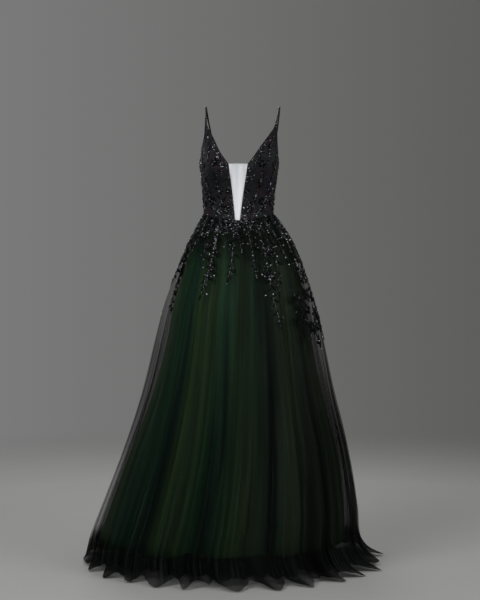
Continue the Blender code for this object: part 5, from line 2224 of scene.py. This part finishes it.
# ---------------------------------------------------------------- the zip
@dataclass
class Zip:
    """The closed zip in the centre back seam."""

    torso: Torso
    low: float = 1.1925
    high: float = 1.3195
    half_angle: float = 0.075
    tape_width: float = 0.012
    tape_thickness: float = 0.0008
    tape_sunk: float = 0.0026
    coil_pitch: float = 0.0016
    coil_steps: int = 8
    coil_sunk: float = 0.0012
    coil_offset: float = 0.0007
    coil_reach: tuple[float, float] = (0.0009, 0.0006)
    coil_radius: float = 0.00022

    def build(self) -> None:
        """Makes the tape and its coils, and finishes the slider and the pull."""
        self.build_tape()
        coils = joined("zip_coils", [self.coil(hand) for hand in (-1, 1)])
        add_piece("zip_coils", coils, Finish.TAPE, "zip_tape")
        for node in ("zip_slider", "zip_pull"):
            for slot in frame["nodes"][node].material_slots:
                slot.material = material_of(Finish.ENAMEL)

    def build_tape(self) -> None:
        """Makes the woven tape in its node's place."""
        length = self.high - self.low

        def place(across: Array, up: Array) -> Array:
            """The tape's points."""
            angle = -math.pi + self.half_angle * (1 - 2 * across)
            return self.torso.place(angle, self.low + up * length, -self.tape_sunk + 0 * up)

        def unfold(across: Array, up: Array) -> Array:
            """The tape's flat places."""
            return np.stack([across * self.tape_width, up * length], axis=-1)

        name = "zip_woven_tape"
        mesh = cloth_grid(name, 12, 60, place, unfold)
        tape = add_piece(name, mesh, Finish.TAPE, "zip_tape", "zip_tape")
        add_wall(tape, self.tape_thickness, 0)

    def coil(self, hand: int) -> Mesh:
        """Makes one of the two coils that mesh along the middle.

        Args:
            hand: 1 for the wearer's left and -1 for the right.

        Returns:
            The mesh.
        """
        turns = int((self.high - self.low) / self.coil_pitch)
        along = np.linspace(0, 1, turns * self.coil_steps)
        height = self.low + along * (self.high - self.low)
        middle = self.torso.place(0 * along + math.pi, height, 0 * along - self.coil_sunk)
        phase = FULL_TURN * turns * along + (0 if hand > 0 else math.pi)
        middle[:, 0] += hand * self.coil_offset + self.coil_reach[0] * np.cos(phase)
        middle[:, 1] += self.coil_reach[1] * np.sin(phase)
        return tube("coil", middle, self.coil_radius, 4)


# ---------------------------------------------------------------- the studio
@dataclass(frozen=True)
class Lamp:
    """One rectangular lamp: where it stands, what it faces, its size and its power."""

    name: str
    place: Point
    target: Point
    size: tuple[float, float]
    power: float

    def build(self) -> None:
        """Sets up the lamp."""
        light = bpy.data.lights.new(self.name, "AREA")
        light.shape = "RECTANGLE"
        light.size, light.size_y = self.size
        light.energy = self.power
        lamp = bpy.data.objects.new(self.name, light)
        lamp.location = self.place
        lamp.rotation_euler = (Vector(self.target) - Vector(self.place)).to_track_quat("-Z", "Y").to_euler()
        bpy.context.scene.collection.objects.link(lamp)


@dataclass
class Studio:
    """The floor, the backdrop, the lamps and the camera."""

    floor_radius: float = 4.8
    camera_place: Point = (-0.009, -5.0, -0.541)
    lens: float = 90.9
    sensor_width: float = 36
    pitch: float = math.atan(28 / 1515)
    backdrop_left: Colour = (0.195, 0.195, 0.195)
    backdrop_right: Colour = (0.112, 0.114, 0.108)
    lamps: tuple[Lamp, ...] = (
        Lamp("key", (-2.2, -3.2, 1.6), (0, 0, -0.7), (1.8, 1.8), 105),
        Lamp("fill", (2.8, -2.6, 0.8), (0, 0, -0.8), (2.2, 2.2), 62),
        Lamp("top", (0.0, -0.6, 3.0), (0, 0, -0.8), (2.4, 2.4), 40),
        Lamp("rim_left", (-2.4, 2.4, 1.0), (0, 0.2, -0.6), (1.0, 2.2), 8),
        Lamp("rim_right", (2.6, 2.0, 1.0), (0, 0.2, -0.6), (1.0, 2.2), 8),
        Lamp("back", (-0.7, 3.6, 1.4), (0, 0.2, -0.7), (2.2, 1.8), 40),
    )

    def build(self) -> None:
        """Makes the whole studio."""
        self.build_floor()
        self.build_backdrop()
        for lamp in self.lamps:
            lamp.build()
        self.build_camera()

    def build_floor(self) -> None:
        """Makes the round floor."""
        bm = bmesh.new()
        bmesh.ops.create_circle(bm, cap_ends=True, segments=96, radius=self.floor_radius)
        bmesh.ops.translate(bm, verts=bm.verts, vec=(0, 0, -SHOULDER_HEIGHT))
        floor = bpy.data.objects.new("floor", to_mesh(bm, "floor"))
        floor.data.materials.append(material_of(Finish.FLOOR))
        bpy.context.scene.collection.objects.link(floor)

    def build_backdrop(self) -> None:
        """Makes the backdrop, which shades from one side to the other."""
        world = bpy.data.worlds.new("studio")
        world.use_nodes = True
        pen = NodePen(world.node_tree)
        across = pen.add("SeparateXYZ", {0: pen.add("TexCoord").outputs["Generated"]}).outputs[0]
        shade = pen.blend(pen.between(across, -0.16, 0.16), self.backdrop_left, self.backdrop_right)
        pen.feed(world.node_tree.nodes["Background"].inputs["Color"], shade)
        bpy.context.scene.world = world

    def build_camera(self) -> None:
        """Sets up the camera and how the picture is made."""
        scene = bpy.context.scene
        camera = bpy.data.objects.new("camera", bpy.data.cameras.new("camera"))
        camera.location = self.camera_place
        camera.rotation_euler = (math.pi / 2 - self.pitch, 0, 0)
        camera.data.lens = self.lens
        camera.data.sensor_width = self.sensor_width
        scene.collection.objects.link(camera)
        scene.camera = camera
        scene.view_settings.view_transform = "Standard"
        scene.cycles.transparent_max_bounces = 32


# ---------------------------------------------------------------- the gown
OUTER = Layer(
    Depth.OUTER, inset="", fold="fold", folds=26, hem=0.0012, side_dip=0.0, hem_rise=0.021, tips=34,
    ripple=0.13, ragged=0.0030, seed=11,
)
SECOND = Layer(
    Depth.SECOND, inset="second", fold="second_fold", folds=16, hem=0.016, side_dip=0.0, hem_rise=0.014,
    tips=46, ripple=0.12, ragged=0.0040, seed=21,
)
LINING = Layer(
    Depth.LINING, inset="lining", fold="lining_fold", folds=12, hem=0.082, side_dip=0.040, hem_rise=0.006,
    tips=30, ripple=0.10, ragged=0.0020, seed=31,
)


def main() -> None:
    """Builds the studio, then the gown from the skirt up."""
    logging.basicConfig(level=logging.INFO, format="%(name)s: %(message)s")
    Studio().build()
    torso = Torso()
    skirt = Skirt(torso)
    cloths = (
        SkirtCloth(
            skirt, OUTER, Finish.OUTER_TULLE, slot="outer_tulle", nodes="overlay", rows=120,
            columns_a_fold=22, tip_spread=0.012, hem_cover=0.44, left_cover=0.34,
        ),
        SkirtCloth(
            skirt, SECOND, Finish.SECOND_TULLE, slot="second_tulle", nodes="second_tulle", rows=90,
            columns_a_fold=26, hem_cover=0.55,
        ),
        SkirtCloth(
            skirt, LINING, Finish.LINING, slot="lining", nodes="lining", rows=80, columns_a_fold=28,
        ),
    )
    for cloth in cloths:
        cloth.build()
    bodice = Bodice(torso)
    bodice.build_panels()
    bodice.build_insert()
    bodice.build_binding()
    Straps(bodice).build()
    laid = LaceWork(Outside(torso, skirt, OUTER)).build()
    Zip(torso).build()


if __name__ == "__main__":
    main()
